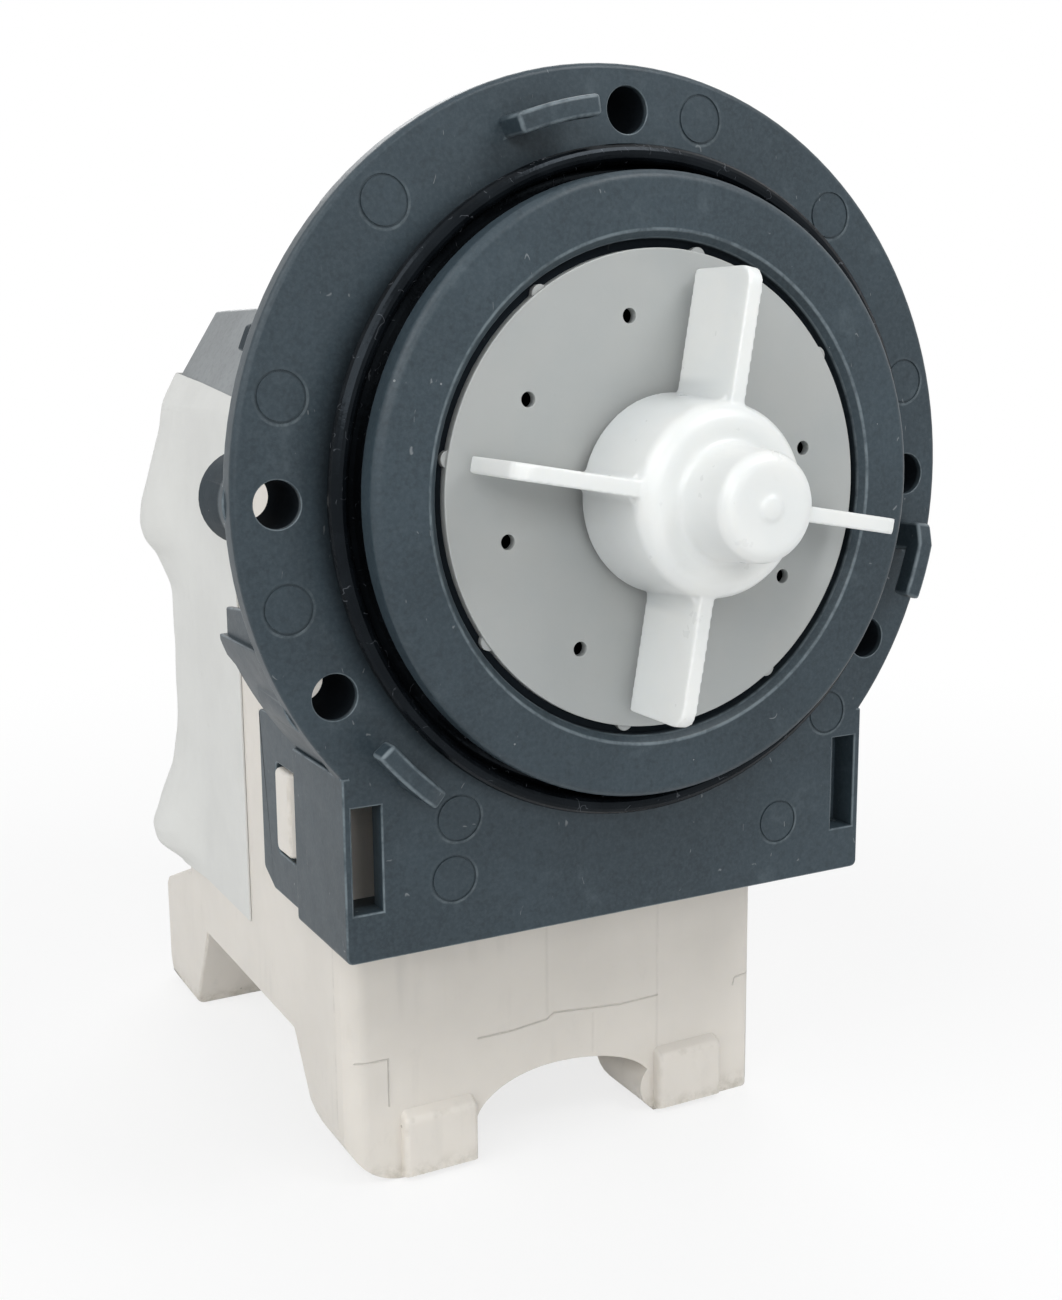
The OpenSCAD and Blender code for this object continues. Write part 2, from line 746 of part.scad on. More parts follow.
// A bobbin round the leg on one side: a tube with a square flange at each end
module bobbin(side) {
    w = tube_w / 2 + wind_t;
    d = tube_d / 2 + wind_t;
    translate([side * leg_x, magnet_y, 0]) difference() {
        union() {
            block([-tube_w / 2, tube_w / 2], [-tube_d / 2, tube_d / 2], [bobbin_bottom, bobbin_top]);
            block([-w, w], [-d, d], [bobbin_bottom, bobbin_bottom + flange_t]);
            block([-w, w], [-d, d], [bobbin_top - flange_t, bobbin_top]);
        }
        block([-leg_w / 2 - fit, leg_w / 2 + fit], [-stack_t / 2 - fit, stack_t / 2 + fit],
            [bobbin_bottom - 1, bobbin_top + 1]);
    }
}

module bobbin_left() color(milk) bobbin(-1);

module bobbin_right() color(milk) bobbin(1);

// The winding on a bobbin, as one block with round corners
module coil(side) {
    grow = wind_t - 0.5;
    translate([side * leg_x, magnet_y, bobbin_bottom + flange_t])
        linear_extrude(bobbin_len - 2 * flange_t) difference() {
            polygon(rounded_box([-tube_w / 2 - grow, tube_w / 2 + grow],
                [-tube_d / 2 - grow, tube_d / 2 + grow], grow));
            square([tube_w, tube_d], center = true);
        }
}

module coil_left() color([0.55, 0.27, 0.13]) coil(-1);

module coil_right() color([0.55, 0.27, 0.13]) coil(1);

// The thermal cut-out lies on the floor, below the yoke
module thermal_cutout() {
    color(milk) block([-cutout_w / 2, cutout_w / 2],
        [magnet_y - cutout_len / 2, magnet_y + cutout_len / 2], [cavity_z, yoke_z - fit]);
}

// Housing

// The outline of the motor in the front view, drawn in by inset
module body_front_view(inset) {
    r = body_r - inset;
    union() {
        intersection() {
            circle(r);
            translate([-r, -1]) square([2 * r, body_top - inset + 1]);
        }
        polygon(skirt_points(r, -foot_z, 0, foot_round - inset));
    }
}

// The motor's block between two heights, drawn in by inset on every side
module body_block(inset, z0, z1) {
    intersection() {
        along_y(body_front + inset, body_back - inset) body_front_view(inset);
        translate([0, 0, z0]) linear_extrude(z1 - z0)
            polygon(rounded_box([inset - body_r, body_r - inset],
                [body_front + inset, body_back - inset], body_round - inset + 0.5));
    }
}

// The heel of the rear foot between two places, with its sloping top
module heel(x) {
    back = body_back + heel_len;
    top = heel_h - foot_z;
    intersection() {
        along_x(x[0], x[1]) polygon(concat(
            [[body_back - 1, -foot_z], [body_back - 1, top + heel_rise], [body_back, top + heel_rise]],
            [[back - 1, top + 0.3], [back, top - 1]],
            arc([back - 4, 4 - foot_z], 4, 0, -90)));
        along_y(body_back - 2, back + 1) body_front_view(0);
    }
}

// The hollow under the floor, inside the walls of the feet and heels
module foot_hollow() {
    in_x = body_r - foot_wall;
    translate([0, 0, -foot_z - 1]) linear_extrude(foot_z + 1 - floor_z)
        polygon(rounded_box([-in_x, in_x], [body_front + foot_wall, body_back - foot_wall], 1));
    for (x = [[-in_x, arch_left - foot_wall], [arch_right + foot_wall, in_x]])
        block(x, [body_back - foot_wall - 1, body_back + heel_len - foot_wall], [-foot_z - 1, -floor_z]);
}

// A catch on the side of the housing, which snaps into the clip window
module catch() {
    front = body_front + 1.2;
    back = window_back - catch_gap;
    z = [catch_gap - window_z - window_h, -window_z - catch_gap];
    intersection() {
        translate([0, 0, z[0]]) linear_extrude(z[1] - z[0]) polygon([
            [body_r - 1, front], [body_r, front], [catch_x, front + 2.5], [catch_x, back], [body_r - 1, back]]);
        along_x(body_r - 2, catch_x + 1) polygon(rounded_box([front - 2, back], z, 1));
    }
}

// A raised pad on a front foot, between two places
module pad(x) {
    along_x(x[0], x[1]) polygon([
        [body_front + 1, -foot_z], [body_front - pad_t, 0.8 - foot_z],
        [body_front - pad_t, pad_h - 0.4 - foot_z], [body_front + 1, pad_h + 1 - foot_z]]);
}

// The gaps between the feet: a low rounded arch lengthways and a straight one crossways
module foot_gaps() {
    peak = arch_x - arch_lean;
    spring = arch_h - arch_rise - foot_z;
    along_y(body_front - 3, body_back + heel_len + 1) polygon(concat(
        [[arch_left, -foot_z - 1], [arch_left, spring]],
        [for (a = [175 : -5 : 90]) [peak + (peak - arch_left) * cos(a), spring + arch_rise * sin(a)]],
        [for (a = [85 : -5 : 5]) [peak + (arch_right - peak) * cos(a), spring + arch_rise * sin(a)]],
        [[arch_right, spring], [arch_right, -foot_z - 1]]));
    along_x(-body_r - 1, body_r + 1) polygon([
        [body_front + foot_len - 9, -foot_z - 1], [body_front + foot_len - 9, 3 - foot_z],
        [body_front + foot_len, -floor_z], [body_back - rear_foot_len, -floor_z],
        [body_back - rear_foot_len, -foot_z - 1]]);
}

module coil_housing() {
    color(ivory) difference() {
        union() {
            body_block(0, -foot_z, split_z);
            heel([-body_r, arch_left]);
            heel([arch_right, body_r]);
            catch();
            mirror([1, 0, 0]) catch();
            pad([arch_left - pad_w, arch_left]);
            pad([arch_right, arch_right + pad_w]);
        }
        body_block(body_wall, cavity_z, split_z + 1);
        foot_hollow();
        foot_gaps();
        rod(well_hole_r, body_front - 1, body_front + body_wall + 1);
        along_y(body_back - body_wall - 1, body_back + 1) terminal_hole();
    }
}

module top_cover() {
    color(slate) difference() {
        body_block(0, split_z + split_gap, body_top);
        body_block(body_wall, split_z - 1, body_top - body_wall);
        rod(well_hole_r, body_front - 1, body_front + body_wall + 1);
    }
}

// Terminals

module terminal_hole() {
    translate([0, -shroud_z]) square([tab_pitch + blade_tab_w + 1, blade_tab_t + 3], center = true);
}

// The socket for the lead: an open shroud round two blades
module terminal_shroud() {
    color(milk) {
        along_y(body_back, body_back + shroud_len) translate([0, -shroud_z]) difference() {
            square([shroud_w, shroud_h], center = true);
            square([shroud_w - 3, shroud_h - 3], center = true);
        }
        along_y(body_back, body_back + 2) translate([0, -shroud_z]) difference() {
            square([shroud_w - 2, shroud_h - 2], center = true);
            for (side = [-1, 1]) translate([side * tab_pitch / 2, 0])
                square([blade_tab_w, blade_tab_t], center = true);
        }
    }
}

module terminal_blades() {
    color(steel) for (side = [-1, 1]) translate([side * tab_pitch / 2, 0, -shroud_z])
        linear_extrude(blade_tab_t, center = true) polygon([
            [-blade_tab_w / 2, body_back - 3], [blade_tab_w / 2, body_back - 3],
            [blade_tab_w / 2, body_back + shroud_len - 3], [blade_tab_w / 2 - 1.2, body_back + shroud_len - 1.6],
            [1.2 - blade_tab_w / 2, body_back + shroud_len - 1.6], [-blade_tab_w / 2, body_back + shroud_len - 3]]);
}

// The blank paper label on the -X side wraps onto the back wall, with two bulges at the corner.
// It is a sheet of spots along its path, from the front edge round the corner to the back one.
// Each spot has its place, the way out of the wall and its distance from the middle of the corner.
label_r = body_round + 0.5;
label_half = label_r * PI / 4;
label_bottom = label_top - label_h;
label_spots = concat(
    [for (k = [0 : 8]) let (y = label_front + (body_back - label_r - label_front) * k / 9)
        [-body_r, y, -1, 0, y - body_back + label_r - label_half]],
    [for (k = [0 : 6]) let (a = 180 - 15 * k)
        [label_r - body_r + label_r * cos(a), body_back - label_r + label_r * sin(a), cos(a), sin(a),
            (135 - a) / 45 * label_half]],
    [for (k = [1 : 4]) let (x = (label_tail - label_r) * k / 4)
        [label_r - body_r + x, body_back, 0, 1, label_half + x]]);
label_rows = 40;

// A smooth hump from 0 through 1 at the peak back to 0
function hump(v, from, peak, to) =
    v <= from || v >= to ? 0 : 0.5 + 0.5 * cos(180 * (v - peak) / ((v < peak ? from : to) - peak));

// How far the paper is off the wall at a spot and a height
function label_lift(u, z) = hump(u, -15, -1, label_half + 0.8 * (label_tail - label_r)) * (0.5
    + label_bulge * hump(z, label_top - 33, label_top - 21.5, label_top - 3)
    + 1.1 * label_bulge * hump(z, label_bottom - 0.5, label_bottom + 6, label_bottom + 23));

function side_x(z) = z > 0 ? sqrt(body_r * body_r - z * z) : body_r;

function label_point(spot, z, off) = let (d = off + label_lift(spot[4], z))
    [max(spot[0] + d * spot[2], -side_x(z) - d), spot[1] + d * spot[3], z];

module paper_label() {
    paste = 0.06;
    last = len(label_spots) - 1;
    row = label_rows + 1;
    back = (last + 1) * row;
    points = [for (off = [paste + label_t, paste], spot = label_spots, j = [0 : label_rows])
        label_point(spot, label_bottom + label_h * j / label_rows, off)];
    color([0.9, 0.9, 0.88]) polyhedron(points, concat(
        [for (i = [0 : last - 1], j = [0 : label_rows - 1]) let (a = i * row + j, b = a + row)
            each [[a, b, b + 1], [a, b + 1, a + 1],
                [back + a, back + b + 1, back + b], [back + a, back + a + 1, back + b + 1]]],
        [for (i = [0 : last - 1]) let (a = i * row, b = a + row, c = a + label_rows, d = b + label_rows)
            each [[b, a, back + a, back + b], [c, d, back + d, back + c]]],
        [for (j = [0 : label_rows - 1]) let (a = j, b = last * row + j)
            each [[a, a + 1, back + a + 1, back + a], [b + 1, b, back + b, back + b + 1]]]));
}

front_flange();
flange_seal();
baffle_disc();
impeller();
hub_cap();
drive_dog();
rotor_shaft();
rotor_core();
rotor_magnet();
front_washer();
rear_washer();
front_bearing();
front_bearing_holder();
rear_bearing();
rear_bearing_holder();
shaft_seal();
rotor_well();
well_oring();
stator_core();
bobbin_left();
bobbin_right();
coil_left();
coil_right();
thermal_cutout();
coil_housing();
top_cover();
terminal_shroud();
terminal_blades();
paper_label();
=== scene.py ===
import json
import math

import bpy
import bmesh
import numpy as np
from mathutils import Matrix, Vector, noise


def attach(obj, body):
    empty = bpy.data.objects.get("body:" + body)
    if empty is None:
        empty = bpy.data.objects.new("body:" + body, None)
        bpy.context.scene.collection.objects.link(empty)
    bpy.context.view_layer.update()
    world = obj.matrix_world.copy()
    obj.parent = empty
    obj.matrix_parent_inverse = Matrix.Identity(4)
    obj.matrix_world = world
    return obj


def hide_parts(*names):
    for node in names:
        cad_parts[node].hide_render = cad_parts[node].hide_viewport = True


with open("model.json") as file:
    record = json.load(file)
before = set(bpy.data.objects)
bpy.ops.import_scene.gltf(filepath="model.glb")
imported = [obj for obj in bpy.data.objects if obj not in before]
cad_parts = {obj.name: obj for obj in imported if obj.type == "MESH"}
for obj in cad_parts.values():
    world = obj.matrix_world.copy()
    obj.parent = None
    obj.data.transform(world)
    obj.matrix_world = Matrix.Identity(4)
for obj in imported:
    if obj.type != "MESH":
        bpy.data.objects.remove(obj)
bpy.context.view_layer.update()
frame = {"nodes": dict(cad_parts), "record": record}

scene = bpy.context.scene
nodes = frame["nodes"]
MM = 0.001

# ---------------------------------------------------------------- camera

PHOTO_WIDTH, PHOTO_HEIGHT = 1062, 1300  # pixels
IMAGE_CENTRE = (585.648, 647.7355)  # where the camera's axis meets the photograph, in pixels
FOCAL_LENGTH = 1583.1689  # pixels
CAMERA_PLACE = (-95.6603, -160.1873, 15.8077)  # millimetres
CAMERA_TURN = (0.1809, -0.0488, 0.5114)  # axis times angle, from a camera that looks along Y
SENSOR_HEIGHT = 24


def make_camera():
    """The photograph's camera, solved from the flange's circles and the skirt's corners."""
    place = Vector(CAMERA_PLACE) * MM
    turn = Vector(CAMERA_TURN)
    world_to_cv = Matrix(((1, 0, 0), (0, 0, -1), (0, 1, 0))) @ Matrix.Rotation(
        turn.length, 3, turn.normalized())
    right, down, ahead = (Vector(row) for row in world_to_cv)
    m = Matrix((
        (right.x, -down.x, -ahead.x, place.x),
        (right.y, -down.y, -ahead.y, place.y),
        (right.z, -down.z, -ahead.z, place.z),
        (0, 0, 0, 1)))
    data = bpy.data.cameras.new("photo_camera")
    data.sensor_fit = "VERTICAL"
    data.sensor_height = SENSOR_HEIGHT
    data.lens = FOCAL_LENGTH * SENSOR_HEIGHT / PHOTO_HEIGHT
    data.shift_x = -(IMAGE_CENTRE[0] - PHOTO_WIDTH / 2) / PHOTO_HEIGHT
    data.shift_y = (IMAGE_CENTRE[1] - PHOTO_HEIGHT / 2) / PHOTO_HEIGHT
    data.clip_start = 0.01
    data.clip_end = 10
    camera = bpy.data.objects.new("photo_camera", data)
    camera.matrix_world = m
    scene.collection.objects.link(camera)
    scene.camera = camera


make_camera()

# ---------------------------------------------------------------- stage and light

# The floor, in metres
FLOOR_Z = -0.0900
FLOOR_REACH = 3.0
FLOOR_MIDDLE = (0, 0.04, FLOOR_Z)
# Its share of white: To Min up to From Min from its middle, To Max from From Max on
FLOOR_FADE = (("From Min", 0.07), ("From Max", 0.34), ("To Min", 0.74), ("To Max", 1.0))


def seen_white(nt, share):
    """1 x share for camera, glossy and transmission rays, which see the background as white."""
    path = nt.nodes.new("ShaderNodeLightPath")
    level = path.outputs["Is Camera Ray"]
    for name in ("Is Glossy Ray", "Is Transmission Ray"):
        top = nt.nodes.new("ShaderNodeMath")
        top.operation = "MAXIMUM"
        nt.links.new(level, top.inputs[0])
        nt.links.new(path.outputs[name], top.inputs[1])
        level = top.outputs[0]
    scale = nt.nodes.new("ShaderNodeMath")
    scale.operation = "MULTIPLY"
    nt.links.new(level, scale.inputs[0])
    if isinstance(share, float):
        scale.inputs[1].default_value = share
    else:
        nt.links.new(share, scale.inputs[1])
    return scale.outputs[0]


def make_stage():
    """A pale floor that keeps the shadow near the object and is white further out."""
    me = bpy.data.meshes.new("floor")
    s = FLOOR_REACH
    me.from_pydata([(-s, -s, FLOOR_Z), (s, -s, FLOOR_Z), (s, s, FLOOR_Z), (-s, s, FLOOR_Z)],
                   [], [(0, 1, 2, 3)])
    floor = bpy.data.objects.new("floor", me)
    scene.collection.objects.link(floor)
    mat = bpy.data.materials.new("floor")
    mat.use_nodes = True
    nt = mat.node_tree
    nt.nodes.clear()
    out = nt.nodes.new("ShaderNodeOutputMaterial")
    mix = nt.nodes.new("ShaderNodeMixShader")
    diff = nt.nodes.new("ShaderNodeBsdfDiffuse")
    diff.inputs["Color"].default_value = (0.86, 0.86, 0.86, 1)
    em = nt.nodes.new("ShaderNodeEmission")
    em.inputs["Color"].default_value = (1, 1, 1, 1)
    place = nt.nodes.new("ShaderNodeTexCoord")
    far = nt.nodes.new("ShaderNodeVectorMath")
    far.operation = "DISTANCE"
    far.inputs[1].default_value = FLOOR_MIDDLE
    nt.links.new(place.outputs["Object"], far.inputs[0])
    fade = nt.nodes.new("ShaderNodeMapRange")
    fade.interpolation_type = "SMOOTHSTEP"
    for name, v in FLOOR_FADE:
        fade.inputs[name].default_value = v
    nt.links.new(far.outputs["Value"], fade.inputs["Value"])
    nt.links.new(seen_white(nt, fade.outputs[0]), mix.inputs[0])
    nt.links.new(diff.outputs[0], mix.inputs[1])
    nt.links.new(em.outputs[0], mix.inputs[2])
    nt.links.new(mix.outputs[0], out.inputs[0])
    me.materials.append(mat)


def make_world():
    """Soft light from all around; where the background is seen it is white."""
    world = bpy.data.worlds.new("studio")
    scene.world = world
    world.use_nodes = True
    nt = world.node_tree
    nt.nodes.clear()
    out = nt.nodes.new("ShaderNodeOutputWorld")
    soft = nt.nodes.new("ShaderNodeBackground")
    soft.inputs["Color"].default_value = (0.96, 0.98, 1.0, 1)
    soft.inputs["Strength"].default_value = 0.38
    white = nt.nodes.new("ShaderNodeBackground")
    white.inputs["Color"].default_value = (1, 1, 1, 1)
    mix = nt.nodes.new("ShaderNodeMixShader")
    nt.links.new(seen_white(nt, 1.0), mix.inputs[0])
    nt.links.new(soft.outputs[0], mix.inputs[1])
    nt.links.new(white.outputs[0], mix.inputs[2])
    nt.links.new(mix.outputs[0], out.inputs[0])


def area_light(name, place, aim, size, power):
    """A rectangular light at place that shines at aim; its size is in metres."""
    data = bpy.data.lights.new(name, "AREA")
    data.shape = "RECTANGLE"
    data.size, data.size_y = size
    data.energy = power
    ob = bpy.data.objects.new(name, data)
    ob.location = place
    ob.rotation_euler = (Vector(aim) - Vector(place)).to_track_quat("-Z", "Y").to_euler()
    scene.collection.objects.link(ob)


make_stage()
make_world()
area_light("key", (0.13, -0.2, 0.25), (0, -0.01, 0.0), (0.15, 0.15), 0.5)
area_light("left", (-0.62, -0.22, 0.52), (0, 0.02, -0.02), (0.6, 0.6), 3.5)
area_light("front", (-0.3, -0.75, 0.26), (0, 0.02, -0.06), (0.6, 0.25), 1.75)
area_light("back", (0.35, 0.8, 0.5), (0, 0.04, -0.02), (0.7, 0.7), 4.0)

scene.view_settings.view_transform = "Standard"


# ---------------------------------------------------------------- node trees


class Look:
    """A material's node tree, with short calls. Lengths are in millimetres."""

    def __init__(self, name):
        self.mat = bpy.data.materials.new(name)
        self.mat.use_nodes = True
        self.nt = self.mat.node_tree
        self.bsdf = self.nt.nodes["Principled BSDF"]
        place = self.add("TexCoord").outputs["Object"]
        self.pos = self.add("VectorMath", {0: place, "Scale": 1000.0}, operation="SCALE").outputs[0]

    def add(self, kind, ins=None, **props):
        n = self.nt.nodes.new("ShaderNode" + kind)
        for k, v in props.items():
            setattr(n, k, v)
        for k, v in (ins or {}).items():
            self.put(n.inputs[k], v)
        return n

    def put(self, socket, v):
        if isinstance(v, bpy.types.NodeSocket):
            self.nt.links.new(v, socket)
        elif isinstance(v, (tuple, list)) and len(v) == 3 and socket.type == "RGBA":
            socket.default_value = (*v, 1)
        else:
            socket.default_value = v

    def set(self, **ins):
        for k, v in ins.items():
            self.put(self.bsdf.inputs[k.replace("_", " ")], v)

    def math(self, op, a, b=0.0, clamp=False):
        return self.add("Math", {0: a, 1: b}, operation=op, use_clamp=clamp).outputs[0]

    def times(self, a, b):
        return self.math("MULTIPLY", a, b)

    def most(self, a, b):
        return self.math("MAXIMUM", a, b)

    def span(self, v, lo, hi, a=0.0, b=1.0):
        """Goes softly from a to b as v goes from lo to hi."""
        return self.add("MapRange", {"Value": v, "From Min": lo, "From Max": hi, "To Min": a, "To Max": b},
                        interpolation_type="SMOOTHSTEP").outputs[0]

    def mix(self, fac, a, b):
        n = self.add("Mix", {"Factor": fac}, data_type="RGBA", blend_type="MIX")
        self.put(n.inputs[6], a)
        self.put(n.inputs[7], b)
        return n.outputs[2]

    def axes(self):
        """The place's X, Y and Z."""
        return self.add("SeparateXYZ", {0: self.pos}).outputs

    def front_view(self):
        """The place with its Y set to 0."""
        return self.add("VectorMath", {0: self.pos, 1: (1, 0, 1)}, operation="MULTIPLY").outputs[0]

    def length(self, vec):
        return self.add("VectorMath", {0: vec}, operation="LENGTH").outputs["Value"]

    def stretched(self, scale, turn=(0, 0, 0)):
        return self.add("Mapping", {"Vector": self.pos, "Scale": scale, "Rotation": turn}).outputs[0]

    def moved(self, vec, seed):
        return self.add("VectorMath", {0: vec or self.pos, 1: (17.3 * seed, 31.7 * seed, 47.1 * seed)},
                        operation="ADD").outputs[0]

    def noise(self, size, detail=2.0, rough=0.5, seed=0.0, vec=None):
        """Noise from 0 to 1 whose features are about size across."""
        return self.add("TexNoise", {"Vector": self.moved(vec, seed), "Scale": 1 / size, "Detail": detail,
                                     "Roughness": rough}).outputs[0]

    def specks(self, cell, radius, share, seed=0.0):
        """Round specks: one per cell at most, kept in that share of the cells."""
        n = self.add("TexVoronoi", {"Vector": self.moved(None, seed), "Scale": 1 / cell})
        picked = self.add("SeparateColor", {0: n.outputs["Color"]})
        size = self.times(picked.outputs[1], radius / cell)
        dot = self.math("LESS_THAN", n.outputs["Distance"], size)
        return self.times(dot, self.math("LESS_THAN", picked.outputs[0], share))

    def fibres(self, size, width, amount, stretch, turn, seed):
        """Short thin curls where a stretched noise passes its middle value, kept in few patches."""
        v = self.noise(size, 1.0, 0.4, seed, self.stretched(stretch, turn))
        line = self.span(self.math("ABSOLUTE", self.math("SUBTRACT", v, 0.5)), 0.0, width, 1.0, 0.0)
        kept = self.span(self.noise(2.2, 2.0, 0.6, seed + 7), 1 - amount, 1.04 - amount)
        return self.times(line, kept)

    def stroke(self, a, b, width):
        """1 on a straight line in the front view from a to b, in millimetres, fading over width."""
        flat = self.front_view()
        a, b = (a[0], 0, a[1]), (b[0], 0, b[1])
        way = tuple(q - p for p, q in zip(a, b))
        long = sum(w * w for w in way)
        off = self.add("VectorMath", {0: flat, 1: a}, operation="SUBTRACT").outputs[0]
        dot = self.add("VectorMath", {0: off, 1: tuple(w / long for w in way)}, operation="DOT_PRODUCT")
        t = self.math("MULTIPLY", dot.outputs["Value"], 1.0, clamp=True)
        near = self.add("VectorMath", {0: way, "Scale": t}, operation="SCALE").outputs[0]
        gap = self.add("VectorMath", {0: off, 1: near}, operation="DISTANCE").outputs["Value"]
        return self.span(gap, 0.0, width, 1.0, 0.0)

    def strokes(self, chains, width):
        """1 on the straight lines from point to point of each chain."""
        out = 0.0
        for chain in chains:
            for a, b in zip(chain, chain[1:]):
                out = self.most(out, self.stroke(a, b, width))
        return out

    def attribute(self, name):
        return self.add("Attribute", attribute_name=name).outputs["Fac"]

    def bump(self, height):
        """height is in millimetres."""
        return self.add("Bump", {"Height": height, "Strength": 1.0, "Distance": MM}).outputs[0]

    def total(self, *parts):
        """Sum of (value, weight) pairs."""
        out = 0.0
        for v, w in parts:
            out = self.math("ADD", out, self.times(v, w))
        return out


SHINE = 0.3  # the specular level of the moulded plastic


def moulded(name, base, rough, pale, worn_and_highlit_edge, seed):
    """Moulded plastic: slow colour drift, a mottled skin, dust, scuffs, and pale edges that are partly worn
    and partly a painted highlight.
    """
    k = Look(name)
    drift = k.noise(22.0, 3.0, 0.55, seed)
    colour = k.mix(k.span(drift, 0.3, 0.7), [c * 0.86 for c in base], [c * 1.12 for c in base])
    fine = k.noise(0.5, 3.0, 0.75, seed + 1)
    colour = k.mix(k.span(fine, 0.36, 0.72, 0.0, 0.22), colour, pale)
    dark = k.span(k.noise(0.9, 2.0, 0.6, seed + 2), 0.3, 0.52, 0.24, 0.0)
    colour = k.mix(dark, colour, [c * 0.45 for c in base])
    smudge = k.span(k.noise(5.0, 5.0, 0.7, seed + 3), 0.56, 0.8)
    colour = k.mix(k.times(smudge, 0.42), colour, pale)
    # Pale roundings: partly worn edges, partly a painted highlight
    edge_wear_and_highlight = k.times(k.attribute("edge_wear_and_highlight"), k.span(k.noise(2.2, 3.0, 0.7, seed + 5), 0.3, 0.62, 0.25, 0.9))
    colour = k.mix(edge_wear_and_highlight, colour, worn_and_highlit_edge)
    dust = k.most(k.specks(2.6, 0.14, 0.3, seed), k.specks(1.0, 0.06, 0.25, seed + 2))
    scuff = k.fibres(2.6, 0.012, 0.36, (1, 1, 0.35), (0.2, 0.7, 0.3), seed + 4)
    marks = k.most(k.times(dust, 0.6), k.times(scuff, 0.45))
    colour = k.mix(marks, colour, (0.3, 0.32, 0.33))
    k.set(Specular_IOR_Level=SHINE)
    h = k.total((k.noise(0.35, 2.0, 0.5, seed + 15), 0.012), (k.noise(5.0, 1.0, 0.5, seed + 17), 0.05),
                (dust, 0.02))
    k.set(Normal=k.bump(h))
    r = k.total((k.noise(2.5, 3.0, 0.6, seed + 9), 0.14), (smudge, 0.06), (dust, 0.2), (edge_wear_and_highlight, -0.08))
    k.set(Base_Color=colour, Roughness=k.math("ADD", r, rough - 0.07, clamp=True))
    k.colour, k.uneven = colour, r
    return k


def on_circle(r, angles):
    return [(r * math.cos(math.radians(a)), r * math.sin(math.radians(a))) for a in angles]


# Screw holes and round marks on the flange, in the front view, in millimetres
SCREWS = on_circle(42.5, (0, 90, 180, 210, 330))
MARKS = on_circle(43.2, (16, 48, 77, 133.5, 165, 195, 239, 315)) + [(-23, -44.2), (23, -44.2)]
MARK_RADIUS = 2.95
MOUTH_RADIUS = 28.2  # the opening round the disc
# Colour of the painted shade in the gap round the disc, the seal's groove, the screw holes and on the bosses
PAINTED_SHADE = (0.006, 0.007, 0.009)


def flange_slate():
    """The slate plastic of the flange, with painted shade round the disc, behind the seal and in the holes.
    """
    k = moulded("slate_plastic", (0.0285, 0.0435, 0.0545), 0.42, (0.085, 0.11, 0.125),
                (0.15, 0.185, 0.205), 1.0)
    at = k.axes()
    flat = k.front_view()
    far = k.length(flat)
    # Painted shade round the disc, in the groove behind the seal, in the screw holes, and half as dark on the
    # bosses behind the plate
    shade = k.times(k.span(far, MOUTH_RADIUS, MOUTH_RADIUS - 0.3), k.span(at["Y"], -8.6, -8.1))
    groove = k.times(k.times(k.span(far, 32.0, 33.0), k.span(far, 39.5, 36.0)), k.span(at["Y"], -5.6, -5.0))
    shade = k.most(shade, groove)
    for x, z in SCREWS:
        near = k.add("VectorMath", {0: flat, 1: (x, 0, z)}, operation="DISTANCE").outputs["Value"]
        shade = k.most(shade, k.times(k.span(near, 2.95, 2.8), k.span(at["Y"], 0.3, 1.0)))
    behind = k.times(k.span(at["Y"], 3.0, 4.0), k.span(far, 36.5, 38.0))
    shade = k.most(shade, k.times(k.times(behind, k.span(at["Z"], -7.0, -5.5)), 0.5))
    # Painted highlight: the rings of the marks are paler at the lower right
    rim_highlight = 0.0
    for x, z in MARKS:
        near = k.add("VectorMath", {0: flat, 1: (x, 0, z)}, operation="SUBTRACT").outputs[0]
        off = k.math("ABSOLUTE", k.math("SUBTRACT", k.length(near), MARK_RADIUS))
        ring = k.span(off, 0.06, 0.24, 1.0, 0.0)
        low = k.add("VectorMath", {0: near, 1: (0.6, 0, -0.8)}, operation="DOT_PRODUCT").outputs["Value"]
        rim_highlight = k.most(rim_highlight, k.times(ring, k.span(low, -1.5, 2.5, 0.15, 1.0)))
    rim_highlight = k.times(rim_highlight, k.span(k.noise(1.3, 3.0, 0.7, 31.0), 0.35, 0.65, 0.2, 0.8))
    rim_highlight = k.times(rim_highlight, k.math("LESS_THAN", k.math("ABSOLUTE", at["Y"]), 0.35))
    colour = k.mix(k.times(rim_highlight, 0.6), k.colour, (0.15, 0.18, 0.195))
    k.set(Base_Color=k.mix(k.times(shade, 0.85), colour, PAINTED_SHADE))
    # The collar's outer edge is glossier; the painted shade is less glossy and rougher
    lip = k.times(k.attribute("edge_wear_and_highlight"), k.span(at["Y"], -6.5, -7.5))
    lip = k.times(lip, k.span(far, 33.0, 33.6))
    k.set(Specular_IOR_Level=k.total((shade, -0.29), (lip, 0.4), (1.0, SHINE)))
    k.set(Roughness=k.math("ADD", k.total((shade, 0.5), (lip, -0.2), (1.0, 0.35)), k.uneven, clamp=True))
    return k


